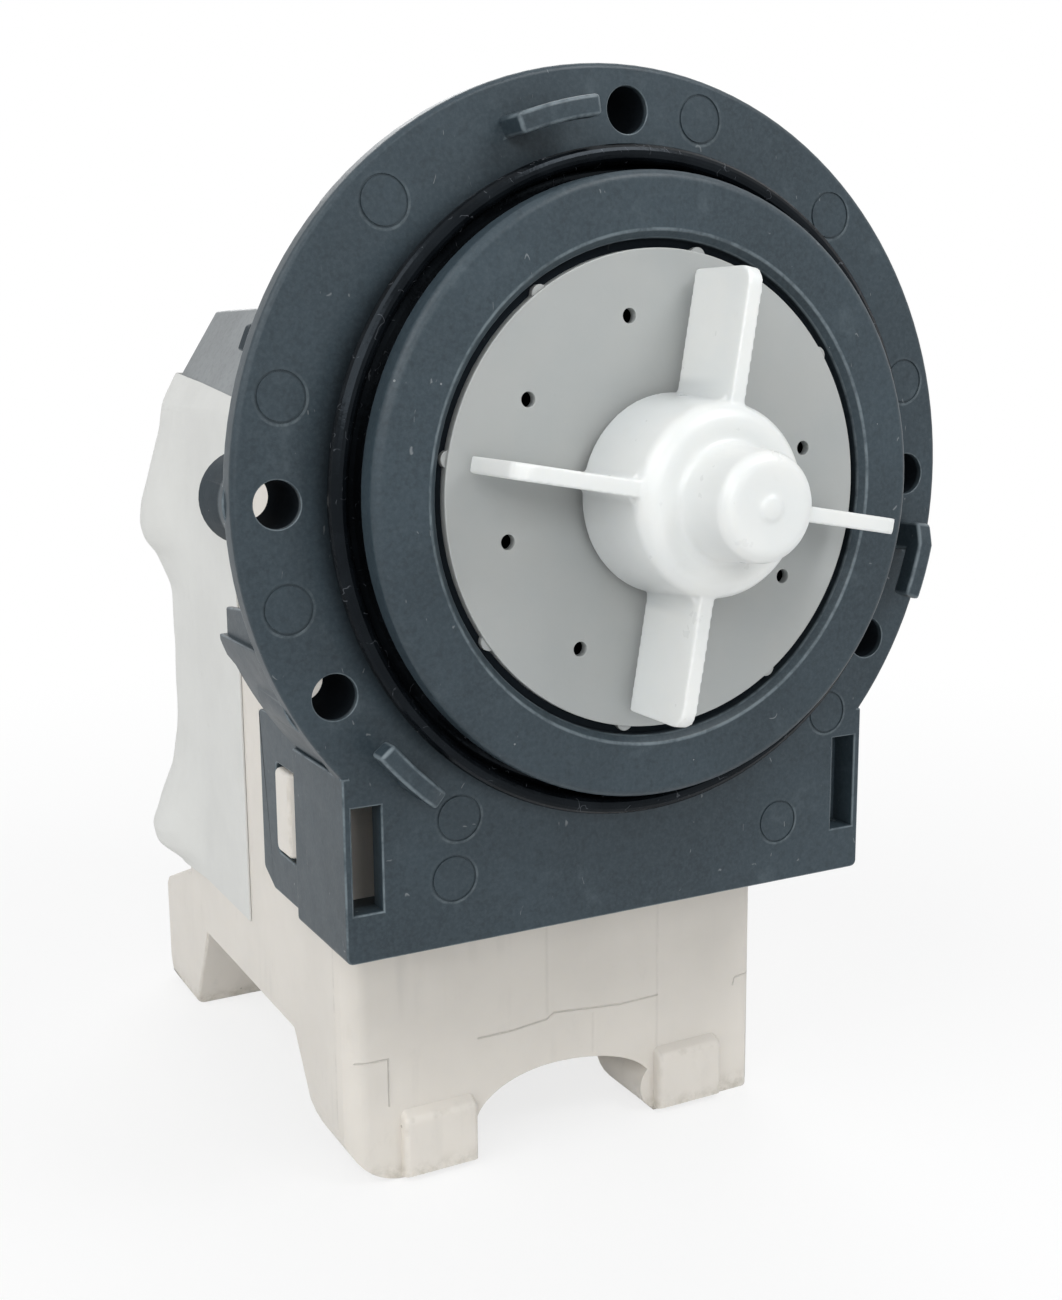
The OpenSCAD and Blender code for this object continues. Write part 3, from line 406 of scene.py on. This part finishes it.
def milky(name, base, scatter, rough, seed, depth=0.002, foot=0.0):
    """Cloudy plastic that lets light in a little. foot is how strongly painted shade greys it towards the
    disc, where the hub meets it.
    """
    k = Look(name)
    cloud = k.noise(9.0, 3.0, 0.5, seed)
    colour = k.mix(k.span(cloud, 0.3, 0.7), base, [base[0] * 0.95, base[1] * 0.965, base[2] * 0.975])
    # Painted highlight: the roundings are paler
    edge = k.times(k.attribute("edge_wear_and_highlight"), 0.4)
    colour = k.mix(edge, colour, [min(0.9, c * 1.25) for c in base])
    if foot:
        # Painted shade: greyer towards the disc, at the hub's root
        back = k.span(k.axes()["Y"], -20.0, -9.5, 0.0, foot)
        back = k.times(back, k.span(k.length(k.front_view()), 13.4, 12.2))
        colour = k.mix(back, colour, (0.4, 0.43, 0.445))
    dust = k.specks(2.4, 0.09, 0.22, seed)
    stain = k.span(k.noise(4.0, 4.0, 0.7, seed + 2), 0.6, 0.8)
    colour = k.mix(k.times(stain, 0.1), colour, (0.45, 0.43, 0.38))
    colour = k.mix(k.times(dust, 0.45), colour, (0.2, 0.19, 0.17))
    k.set(Base_Color=colour, Subsurface_Weight=scatter, Subsurface_Radius=(1.0, 0.95, 0.85),
          Subsurface_Scale=depth, IOR=1.49, Specular_IOR_Level=0.5)
    k.set(Roughness=k.math("ADD", k.times(k.noise(3.0, 3.0, 0.6, seed + 4), 0.14), rough - 0.07))
    k.set(Normal=k.bump(k.total((k.noise(0.5, 2.0, 0.5, seed + 6), 0.006),
                                (k.noise(6.0, 1.0, 0.5, seed + 8), 0.05))))
    return k


# Moulding lines on the front wall of the housing, in the front view, in millimetres
FRONT_LINES = [((-12.2, -73.1), (-7.1, -73.1), (-1.9, -72.6), (-0.9, -71.9), (9.5, -72.9), (15.5, -72.8)),
               ((-31.5, -73.0), (-24.9, -73.1), (-24.9, -79.5)),
               ((28.3, -73.9), (28.6, -72.9), (31.2, -72.5))]
FAINT_LINES = [((-1.9, -72.4), (-1.9, -50)), ((15.5, -72.8), (15.5, -50)), ((5.2, -73.4), (5.2, -79)),
               ((15.5, -73.2), (15.5, -82))]


def ivory_housing():
    """Warm white plastic with rubbed dirt: soft upright streaks, moulding lines, a rubbed left front corner
    and grime along the feet."""
    k = Look("ivory_plastic")
    base = (0.72, 0.683, 0.627)
    drift = k.noise(16.0, 3.0, 0.6, 1.0)
    colour = k.mix(k.span(drift, 0.3, 0.72), base, [c * 0.94 for c in base])
    streak = k.span(k.noise(2.4, 2.0, 0.5, 2.0, k.stretched((1, 1, 0.06))), 0.5, 0.85)
    patch = k.span(k.noise(11.0, 2.0, 0.5, 4.0), 0.42, 0.7)
    colour = k.mix(k.times(k.times(streak, patch), 0.3), colour, (0.44, 0.425, 0.4))
    smear = k.span(k.noise(5.0, 5.0, 0.7, 5.0, k.stretched((1, 1, 0.5))), 0.56, 0.8)
    colour = k.mix(k.times(smear, 0.16), colour, (0.4, 0.375, 0.34))
    at = k.axes()
    front = k.math("LESS_THAN", at["Y"], 17.6)
    lines = k.times(k.strokes(FRONT_LINES, 0.2), front)
    faint = k.times(k.strokes(FAINT_LINES, 0.35), front)
    broken = k.span(k.noise(2.0, 3.0, 0.7, 21.0), 0.3, 0.6, 0.25, 1.0)
    colour = k.mix(k.times(k.times(lines, broken), 0.36), colour, (0.34, 0.32, 0.28))
    colour = k.mix(k.times(k.times(faint, broken), 0.14), colour, (0.36, 0.34, 0.31))
    corner = k.span(k.math("ABSOLUTE", k.math("SUBTRACT", at["Y"], 19.9)), 0.0, 0.25, 1.0, 0.0)
    corner = k.times(corner, k.math("LESS_THAN", at["X"], -30.6))
    rubbed = k.times(corner, k.span(k.noise(4.0, 3.0, 0.7, 23.0), 0.4, 0.65))
    colour = k.mix(k.times(rubbed, 0.3), colour, (0.3, 0.28, 0.25))
    low = k.times(k.span(at["Z"], -86.5, -90.0), k.span(k.noise(2.0, 4.0, 0.7, 9.0), 0.35, 0.7))
    colour = k.mix(k.times(low, 0.55), colour, (0.33, 0.3, 0.24))
    edge_wear_and_highlight = k.times(k.attribute("edge_wear_and_highlight"), k.span(k.noise(2.0, 3.0, 0.7, 10.0), 0.45, 0.7))
    colour = k.mix(k.times(edge_wear_and_highlight, 0.25), colour, (0.4, 0.37, 0.31))
    dots = k.specks(4.0, 0.22, 0.14, 3.0)
    colour = k.mix(k.times(dots, 0.5), colour, (0.2, 0.18, 0.15))
    k.set(Base_Color=colour, Subsurface_Weight=0.15, Subsurface_Radius=(1, 0.9, 0.7), Subsurface_Scale=0.001,
          Specular_IOR_Level=0.4)
    k.set(Roughness=k.total((k.noise(3.0, 3.0, 0.6, 12.0), 0.2), (1.0, 0.38)))
    k.set(Normal=k.bump(k.total((k.noise(0.4, 2.0, 0.5, 13.0), 0.008), (k.noise(8.0, 1.0, 0.5, 14.0), 0.1),
                                (lines, -0.12), (faint, -0.03))))
    return k


def seal_rubber():
    """Black rubber with fibres and dust."""
    k = Look("seal_rubber")
    drift = k.noise(5.0, 3.0, 0.6, 1.0)
    colour = k.mix(k.span(drift, 0.35, 0.7), (0.002, 0.0026, 0.0034), (0.005, 0.0064, 0.008))
    fibre = k.fibres(1.6, 0.014, 0.44, (1, 0.5, 1), (0.4, 0.8, 0.3), 3.0)
    dust = k.most(k.specks(1.7, 0.12, 0.35, 2.0), k.specks(0.8, 0.06, 0.3, 3.0))
    colour = k.mix(k.times(k.most(fibre, dust), 0.5), colour, (0.13, 0.14, 0.155))
    k.set(Base_Color=colour, Specular_IOR_Level=0.14, Specular_Tint=(0.72, 0.86, 1.0, 1.0))
    k.set(Roughness=k.total((k.noise(1.5, 3.0, 0.6, 4.0), 0.16), (dust, 0.3), (1.0, 0.1)))
    k.set(Normal=k.bump(k.total((k.noise(0.8, 3.0, 0.6, 5.0), 0.03), (dust, 0.03),
                                (k.noise(8.0, 1.0, 0.5, 6.0), 0.15))))
    return k


def label_paper():
    """Matt white paper with a slight stain."""
    k = Look("label_paper")
    drift = k.noise(12.0, 4.0, 0.6, 1.0)
    colour = k.mix(k.span(drift, 0.3, 0.75), (0.675, 0.678, 0.655), (0.635, 0.637, 0.615))
    stain = k.span(k.noise(3.0, 4.0, 0.7, 2.0), 0.58, 0.82)
    colour = k.mix(k.times(stain, 0.16), colour, (0.45, 0.44, 0.4))
    fibres = k.noise(0.25, 3.0, 0.7, 5.0, k.stretched((1, 0.4, 1)))
    k.set(Base_Color=colour, Roughness=k.total((fibres, 0.2), (1.0, 0.42)), Specular_IOR_Level=0.4)
    k.set(Normal=k.bump(k.total((fibres, 0.012), (k.noise(6.0, 2.0, 0.5, 6.0), 0.1))))
    return k


def metal(name, base, rough, seed, stripe=None, metallic=1.0):
    """Plain metal. stripe is (axis, pitch) for laminations or turns of wire."""
    k = Look(name)
    colour = k.mix(k.span(k.noise(4.0, 3.0, 0.6, seed), 0.3, 0.7), base, [c * 0.72 for c in base])
    h = [(k.noise(0.6, 2.0, 0.5, seed + 1), 0.01)]
    if stripe:
        axis, pitch = stripe
        along = k.axes()[axis]
        wave = k.math("ABSOLUTE", k.math("SINE", k.times(along, math.pi / pitch)))
        colour = k.mix(k.span(wave, 0.0, 0.35, 0.75, 0.0), colour, [c * 0.2 for c in base])
        h.append((wave, 0.3 * pitch))
    k.set(Base_Color=colour, Metallic=metallic)
    k.set(Roughness=k.total((k.noise(1.2, 3.0, 0.6, seed + 2), 0.25), (1.0, rough - 0.12)))
    k.set(Normal=k.bump(k.total(*h)))
    return k


LOOKS = {
    "slate": flange_slate(),
    "cover": moulded("cover_plastic", (0.235, 0.252, 0.26), 0.5, (0.3, 0.315, 0.32),
                     (0.39, 0.405, 0.41), 20.0),
    "pale": milky("disc_plastic", (0.38, 0.392, 0.385), 0.3, 0.42, 9.0, 0.001),
    "impeller": milky("milky_plastic", (0.74, 0.75, 0.735), 0.35, 0.3, 1.0, 0.002, foot=0.42),
    "inner": milky("inner_plastic", (0.78, 0.77, 0.73), 0.2, 0.4, 5.0),
    "ivory": ivory_housing(), "rubber": seal_rubber(), "paper": label_paper(),
    "steel": metal("shaft_steel", (0.6, 0.6, 0.62), 0.3, 1.0),
    "tin": metal("tinned_brass", (0.66, 0.63, 0.55), 0.32, 3.0),
    "bronze": metal("sintered_bronze", (0.42, 0.27, 0.13), 0.5, 5.0),
    "ferrite": metal("ferrite", (0.05, 0.05, 0.055), 0.6, 7.0, metallic=0.0),
    "stack": metal("lamination_steel", (0.2, 0.2, 0.21), 0.45, 9.0, stripe=("Y", 0.5)),
    "copper": metal("copper_wire", (0.45, 0.16, 0.06), 0.35, 11.0, stripe=("Z", 0.35)),
}
# The look of each CAD node; those that are not named here get "inner"
NODE_LOOK = {
    "front_flange": "slate", "top_cover": "cover", "flange_seal": "rubber", "baffle_disc": "pale",
    "impeller": "impeller", "hub_cap": "impeller", "coil_housing": "ivory", "paper_label": "paper",
    "rotor_shaft": "steel", "terminal_blades": "tin", "front_bearing": "bronze", "rear_bearing": "bronze",
    "rotor_magnet": "ferrite", "stator_core": "stack", "coil_left": "copper", "coil_right": "copper",
    "rear_bearing_holder": "rubber", "shaft_seal": "rubber", "well_oring": "rubber",
}
for name, ob in nodes.items():
    ob.data.materials.clear()
    ob.data.materials.append(LOOKS[NODE_LOOK.get(name, "inner")].mat)

# ---------------------------------------------------------------- pieces

BODY_OF = {n: b for b, members in frame["record"]["behaviour"]["bodies"].items() for n in members}
FLAT_ANGLE = math.radians(0.6)  # faces that differ by less become one
WELD_CAD, WELD_SOLID = 2e-6, 5e-6  # points nearer than this become one, in metres
# The motor's housing, in millimetres: half its width, its front, its back, its corners' radius, the height
# of the ground, and the height from which the cover's sides slope
HALF, FRONT, BACK, CORNER, GROUND, BEND = 31, 17, 88, 3.5, -90, 7.4


def apply_modifiers(ob):
    """Replaces an object's mesh by the one its modifiers give."""
    bpy.context.view_layer.update()
    dg = bpy.context.evaluated_depsgraph_get()
    old = ob.data
    done = bpy.data.meshes.new_from_object(ob.evaluated_get(dg), preserve_all_data_layers=True,
                                           depsgraph=dg)
    ob.modifiers.clear()
    ob.data = done
    bpy.data.meshes.remove(old)
    done.name = ob.name


def copied(node):
    """A copy of a CAD node's mesh, its triangles joined into flat faces."""
    me = bpy.data.meshes.new(node + "_soft")
    bm = bmesh.new()
    bm.from_mesh(nodes[node].data)
    bm.edges.layers.float.new("bevel_weight_edge")
    bmesh.ops.remove_doubles(bm, verts=bm.verts, dist=WELD_CAD)
    bmesh.ops.dissolve_limit(bm, angle_limit=FLAT_ANGLE, verts=bm.verts, edges=bm.edges)
    return me, bm


def curve(mid, r, a0, a1, steps=8):
    """Points on an arc from angle a0 to a1."""
    angles = [math.radians(a0 + (a1 - a0) * i / steps) for i in range(steps + 1)]
    return [(mid[0] + r * math.cos(a), mid[1] + r * math.sin(a)) for a in angles]


def prism(points, axis, lo, hi):
    """A straight solid: an outline in millimetres, stretched along an axis from lo to hi."""
    def spot(a, b, t):
        return {"X": (t, a, b), "Y": (a, t, b), "Z": (a, b, t)}[axis]
    bm = bmesh.new()
    near, far = [[bm.verts.new([c * MM for c in spot(a, b, t)]) for a, b in points] for t in (lo, hi)]
    bm.faces.new(near)
    bm.faces.new(far)
    for i in range(len(points)):
        bm.faces.new((near[i - 1], near[i], far[i], far[i - 1]))
    bmesh.ops.recalc_face_normals(bm, faces=bm.faces)
    me = bpy.data.meshes.new("solid")
    bm.to_mesh(me)
    bm.free()
    ob = bpy.data.objects.new("solid", me)
    scene.collection.objects.link(ob)
    return ob


def block(x, y, z):
    """A block between two values on each axis."""
    return prism([(x[0], z[0]), (x[1], z[0]), (x[1], z[1]), (x[0], z[1])], "Y", y[0], y[1])


def joined(ob, *steps):
    """Joins, cuts or intersects solids with an object, one after another, and deletes them."""
    for operation, other in steps:
        mod = ob.modifiers.new("solid", "BOOLEAN")
        mod.operation = operation
        mod.solver = "EXACT"
        mod.object = other
        apply_modifiers(ob)
        me = other.data
        bpy.data.objects.remove(other)
        bpy.data.meshes.remove(me)
    return ob


def reshaped(node, *steps):
    """A CAD node's mesh with solids joined on or cut away, ready for rounding."""
    me, bm = copied(node)
    bm.to_mesh(me)
    bm.free()
    ob = bpy.data.objects.new("solid", me)
    scene.collection.objects.link(ob)
    joined(ob, *steps)
    return taken(ob, node)


def taken(ob, node):
    """The mesh of a finished solid, cleaned up for rounding; the solid itself is deleted."""
    me = bpy.data.meshes.new(node + "_soft")
    bm = bmesh.new()
    bm.from_mesh(ob.data)
    old = ob.data
    bpy.data.objects.remove(ob)
    bpy.data.meshes.remove(old)
    if "bevel_weight_edge" not in bm.edges.layers.float:
        bm.edges.layers.float.new("bevel_weight_edge")
    bmesh.ops.remove_doubles(bm, verts=bm.verts, dist=WELD_SOLID)
    bmesh.ops.dissolve_degenerate(bm, dist=WELD_SOLID, edges=bm.edges)
    bmesh.ops.dissolve_limit(bm, angle_limit=FLAT_ANGLE, verts=bm.verts, edges=bm.edges)
    return me, bm


def placed(node, me, bm):
    """A new object with the node's material in two slots, so that roundings can be told apart."""
    bm.to_mesh(me)
    bm.free()
    if "custom_normal" in me.attributes:
        me.attributes.remove(me.attributes["custom_normal"])
    ob = bpy.data.objects.new(node + "_soft", me)
    scene.collection.objects.link(ob)
    me.materials.clear()
    me.materials.append(LOOKS[NODE_LOOK[node]].mat)
    me.materials.append(LOOKS[NODE_LOOK[node]].mat)
    return ob


def finished(ob, node, smooth=40):
    """Smooths the shading below an angle in degrees and puts the piece in its node's place."""
    me = ob.data
    me.shade_smooth()
    me.set_sharp_from_angle(angle=math.radians(smooth))
    wn = ob.modifiers.new("normals", "WEIGHTED_NORMAL")
    wn.keep_sharp = True
    wn.weight = 80
    apply_modifiers(ob)
    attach(ob, BODY_OF[node])
    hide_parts(node)


def closed(me):
    """Closes slivers left open by the roundings and deletes loose points."""
    bm = bmesh.new()
    bm.from_mesh(me)
    bmesh.ops.holes_fill(bm, edges=[e for e in bm.edges if len(e.link_faces) == 1], sides=0)
    bmesh.ops.delete(bm, geom=[v for v in bm.verts if not v.link_faces], context="VERTS")
    bm.to_mesh(me)
    bm.free()


ROUNDED_ANGLE = math.radians(25)  # sharper outer edges are rounded


def rounded(node, width, share, solid=None):
    """A copy of a CAD node, or the given solid, with its outer edges rounded. share(middle) gives each
    edge's share of width. An attribute that is 1 on the roundings marks them for worn edges and painted
    highlights."""
    me, bm = solid or copied(node)
    weight = bm.edges.layers.float["bevel_weight_edge"]
    for e in bm.edges:
        if e.is_manifold and e.is_convex and e.calc_face_angle() > ROUNDED_ANGLE:
            e[weight] = share((e.verts[0].co + e.verts[1].co) / 2 / MM)
    ob = placed(node, me, bm)
    bev = ob.modifiers.new("round", "BEVEL")
    bev.limit_method = "WEIGHT"
    bev.width = width * MM
    bev.segments = 3
    bev.profile = 0.5
    bev.use_clamp_overlap = False
    bev.miter_outer = "MITER_ARC"
    bev.material = 1
    apply_modifiers(ob)
    closed(ob.data)
    me = ob.data
    index = np.zeros(len(me.polygons), int)
    me.polygons.foreach_get("material_index", index)
    edge_wear_and_highlight = np.ones(len(me.vertices), np.float32)
    for poly in me.polygons:
        if index[poly.index] == 0:
            edge_wear_and_highlight[list(poly.vertices)] = 0
    attribute = me.attributes.new("edge_wear_and_highlight", "FLOAT", "POINT")
    attribute.data.foreach_set("value", edge_wear_and_highlight)
    me.polygons.foreach_set("material_index", np.zeros(len(me.polygons), int))
    me.materials.pop()
    finished(ob, node)


def melted(node, voxel, passes):
    """A copy of a CAD node remeshed finely and smoothed, so that every corner is soft."""
    me, bm = copied(node)
    ob = placed(node, me, bm)
    me.materials.pop()
    rm = ob.modifiers.new("remesh", "REMESH")
    rm.mode = "VOXEL"
    rm.voxel_size = voxel * MM
    sm = ob.modifiers.new("smooth", "SMOOTH")
    sm.factor = 0.5
    sm.iterations = passes
    apply_modifiers(ob)
    ob.data.materials.clear()
    ob.data.materials.append(LOOKS[NODE_LOOK[node]].mat)
    finished(ob, node, 60)


def label_sheet():
    """The loose paper label: a fine sheet along the side, round the back corner and onto the back wall."""
    r, side, back = CORNER, HALF, BACK
    front, tail = 53.0, 14.0  # where the sheet begins, and its length along the back wall
    half = r * math.pi / 4
    # Along the side, round the corner and onto the back: x, y, the way out, and the length from the
    # corner's middle
    path = []
    steps, bends = 60, 20
    for i in range(steps):
        y = front + (back - r - front) * i / steps
        path.append((-side, y, -1.0, 0.0, y - back + r - half))
    for i in range(bends + 1):
        a = math.radians(180 - 90 * i / bends)
        path.append((r - side + r * math.cos(a), back - r + r * math.sin(a), math.cos(a), math.sin(a),
                     (math.radians(135) - a) * r))
    for i in range(1, bends + 1):
        x = (tail - r) * i / bends
        path.append((r - side + x, back, 0.0, 1.0, half + x))
    bottom, top = -65.0, 11.0
    heights = np.linspace(bottom, top, 153)
    lean = 9.0 / 14.6  # of the cover's side, above the bend

    def hump(v, lo, peak, hi):
        if v <= lo or v >= hi:
            return 0.0
        return 0.5 + 0.5 * math.cos(math.pi * (v - peak) / ((lo if v < peak else hi) - peak))

    # Height, and how far the sheet stands off there, as the photograph shows it
    known = ((-65, 0.1), (-64.2, 0.7), (-61.5, 4.2), (-58.5, 4.9), (-54, 3.3), (-49, 1.2), (-43, 0.15),
             (-40, 0.0), (-22, 0.0), (-20.5, 0.25), (-15.6, 2.2), (-13.8, 3.7), (-11.5, 4.4), (-8, 4.1),
             (-2.3, 2.4), (3.5, 0.6), (8, 0.05), (11, 0.0))
    bulge = np.interp(heights, *zip(*known))
    bulge = np.convolve(np.pad(bulge, 2, mode="edge"), [0.1, 0.2, 0.4, 0.2, 0.1], mode="valid")
    verts, faces = [], []
    for x, y, dx, dy, u in path:
        for z, b in zip(heights, bulge):
            fade = hump(u, -15.0, -1.0, half + 8.4)
            ripple = 0.16 * fade * noise.noise(Vector((u * 0.16, z * 0.11, 3.0)))
            crinkle = 0.09 * min(1.0, fade * 3) * noise.noise(Vector((u * 0.6, z * 0.35, 8.0)))
            d = 0.3 + fade * (0.5 + b) + max(-0.1, ripple + crinkle)
            z += 0.09 * (y - 70.5) * (z - bottom) / (top - bottom)
            flat = side - max(0.0, z - BEND) * lean
            verts.append((max(x + d * dx, -flat - d) * MM, (y + d * dy) * MM, z * MM))
    rows = len(heights)
    for i in range(len(path) - 1):
        for j in range(rows - 1):
            a = i * rows + j
            faces.append((a, a + 1, a + rows + 1, a + rows))
    me = bpy.data.meshes.new("paper_label_sheet")
    me.from_pydata(verts, [], faces)
    ob = bpy.data.objects.new("paper_label_sheet", me)
    scene.collection.objects.link(ob)
    me.materials.append(LOOKS["paper"].mat)
    thick = ob.modifiers.new("paper", "SOLIDIFY")
    thick.thickness = 0.22 * MM
    thick.offset = -1
    apply_modifiers(ob)
    finished(ob, "paper_label", 50)


def flange_share(mid):
    """Nothing on the marks and behind the plate's middle, less on the screw holes and at the back, more on
    the collar and the hooks."""
    if abs(mid.y) < 0.4 and any(math.hypot(mid.x - x, mid.z - z) < 3.1 for x, z in MARKS):
        return 0.0
    if any(math.hypot(mid.x - x, mid.z - z) < 2.75 for x, z in SCREWS):
        return 0.6 if mid.y < 1 else 0.0
    if mid.y > 2.5 and mid.y < 14 and abs(mid.x) < 36 and mid.z > -31:
        return 0.0
    if mid.y > 16 and mid.z > -32:
        return 0.5
    far = math.hypot(mid.x, mid.z)
    if mid.y < -7.5 and far > 33.5:
        return 3.0
    if mid.y < -0.6 and far > 39.0:
        return 1.7
    return 1.0


def flange_solid():
    """The flange, with the cable hook as a thin wall that runs down into the side of the skirt."""
    web = joined(prism(curve((0, 0), 47.1, 198, 222, 16) + curve((0, 0), 45.5, 222, 198, 16), "Y", 2.5, 19),
                 ("INTERSECT", prism([(2.0, -16.2), (17.4, -16.2), (18.3, -17), (18.5, -19), (16.7, -20),
                                      (16.7, -31), (2.0, -31)], "X", -48, -30)))
    return reshaped("front_flange",
                    ("DIFFERENCE", block((-47.6, -42), (16.72, 21), (-21, -10))),
                    ("DIFFERENCE", block((-47.6, -43.5), (3.02, 21), (-16.2, -10))),
                    ("UNION", web))


def rear_foot(x, outer):
    """A rear foot with its heel, between two values of x: the front slopes back towards the ground, and
    the lower edge on the outer side (1 or -1) is round."""
    side = [(76.9, -74.9), (78, -74), (78, -67.5), (88, -67.5), (100, -72.2), (101, -73.5)]
    side += curve((97, GROUND + 4), 4, 0, -90) + [(85.4, GROUND)]
    low = [(x[0], -60), (x[1], -60)]
    if outer > 0:
        low += curve((x[1] - 1.5, GROUND + 1.5), 1.5, 0, -90) + [(x[0], GROUND)]
    else:
        low += [(x[1], GROUND)] + curve((x[0] + 1.5, GROUND + 1.5), 1.5, -90, -180)
    return joined(prism(side, "X", x[0], x[1]), ("INTERSECT", prism(low, "Y", 70, 105)))


def front_part(solid):
    """A solid of the right front foot, cut off by the slope behind it."""
    slope = [(16, -91), (26.4, -91), (27, -90), (36, -75), (37, -75), (37, 8), (16, 8)]
    return joined(solid, ("INTERSECT", prism(slope, "X", 0, 40)))


def plan():
    """The upper housing's outline seen from above, its corners rounded."""
    x, y0, y1 = HALF - CORNER, FRONT + CORNER, BACK - CORNER
    corners = ((x, y0, -90), (x, y1, 0), (-x, y1, 90), (-x, y0, 180))
    return [p for x, y, a in corners for p in curve((x, y), CORNER, a, a + 90, 6)]


def housing_solid():
    """The housing with straight sides up to the cover, closed rear feet and its unlike front feet."""
    sides = [joined(block(x, (16, 89), (0.3, 6.97)), ("INTERSECT", prism(plan(), "Z", -2, 8)))
             for x in ((-HALF, -28.5), (28.5, HALF))]
    corner = [(24, 17)] + curve((30.1, 18.2), 1.2, -90, 0, 6)
    corner += [(31.3, 33), (31, 36), (28, 36), (28, 20), (24, 20)]
    low = [(20, 7), (31.3, 7)] + curve((30.3, GROUND + 1), 1.0, 0, -90) + [(20, GROUND)]
    right = joined(front_part(prism(corner, "Z", GROUND, 6.95)), ("INTERSECT", prism(low, "Y", 10, 40)))
    bulge = front_part(prism(curve((16.6, -86.3), 3.75, 0, 345, 23), "Y", FRONT, 36))
    cut = curve((-22.5, -81.5), 8.5, 180, 270, 10) + [(-22.5, -92), (-33, -92), (-33, -81.5)]
    wedge = [(77.0, -75.02), (86.07, -91), (70, -91), (70, -75.02)]
    return reshaped("coil_housing",
                    ("DIFFERENCE", prism(wedge, "X", -33, 33)),
                    ("UNION", rear_foot((-HALF, -13), -1)), ("UNION", rear_foot((15, HALF), 1)),
                    ("UNION", sides[0]), ("UNION", sides[1]), ("UNION", right), ("UNION", bulge),
                    ("DIFFERENCE", prism(cut, "Y", 14, 40)))


def cover_solid():
    """The top cover with its two sloping sides."""
    def outline(inset, bottom):
        x, top, half = HALF - inset, 22 - inset, 22 - 0.53 * inset
        bend = BEND - 0.28 * inset
        return [(-x, bottom), (x, bottom), (x, bend), (half, top), (-half, top), (-x, bend)]

    ob = joined(prism(outline(0, 7.02), "Y", FRONT, BACK), ("INTERSECT", prism(plan(), "Z", 6, 23)),
                ("DIFFERENCE", prism(outline(1.1, 6), "Y", 18.1, 86.9)),
                ("DIFFERENCE", prism(curve((0, 0), 19.1, 0, 354, 59), "Y", 16, 19)))
    return taken(ob, "top_cover")


def housing_share(mid):
    """Nothing under the cover, on the bottom edges of the front feet and on the left one's round corner,
    ever less down the sides of the arches, more on the front feet's own edges."""
    if mid.z > 5 or mid.z < -89.1 and mid.y < 17.6:
        return 0.0
    if mid.z < -80.5 and mid.x < -23.6 and mid.y < 40:
        return 0.0
    if -13.5 < mid.x < 15.5 and mid.z < -79 and mid.y > 16.8:
        return 0.5 * min(1.0, max(0.0, (mid.z + 84.0) / 2.5))
    if mid.y < 17.1 and mid.z < -79:
        return 1.5
    return 1.0


def cover_share(mid):
    return 0.0 if mid.z < 7.3 else 1.0


def disc_share(mid):
    return 1.0 if mid.y < -7.9 and math.hypot(mid.x, mid.z) > 24 else 0.3


rounded("front_flange", 0.28, flange_share, flange_solid())
rounded("coil_housing", 0.5, housing_share, housing_solid())
rounded("top_cover", 0.4, cover_share, cover_solid())
rounded("baffle_disc", 0.15, disc_share)
melted("impeller", 0.2, 6)
label_sheet()
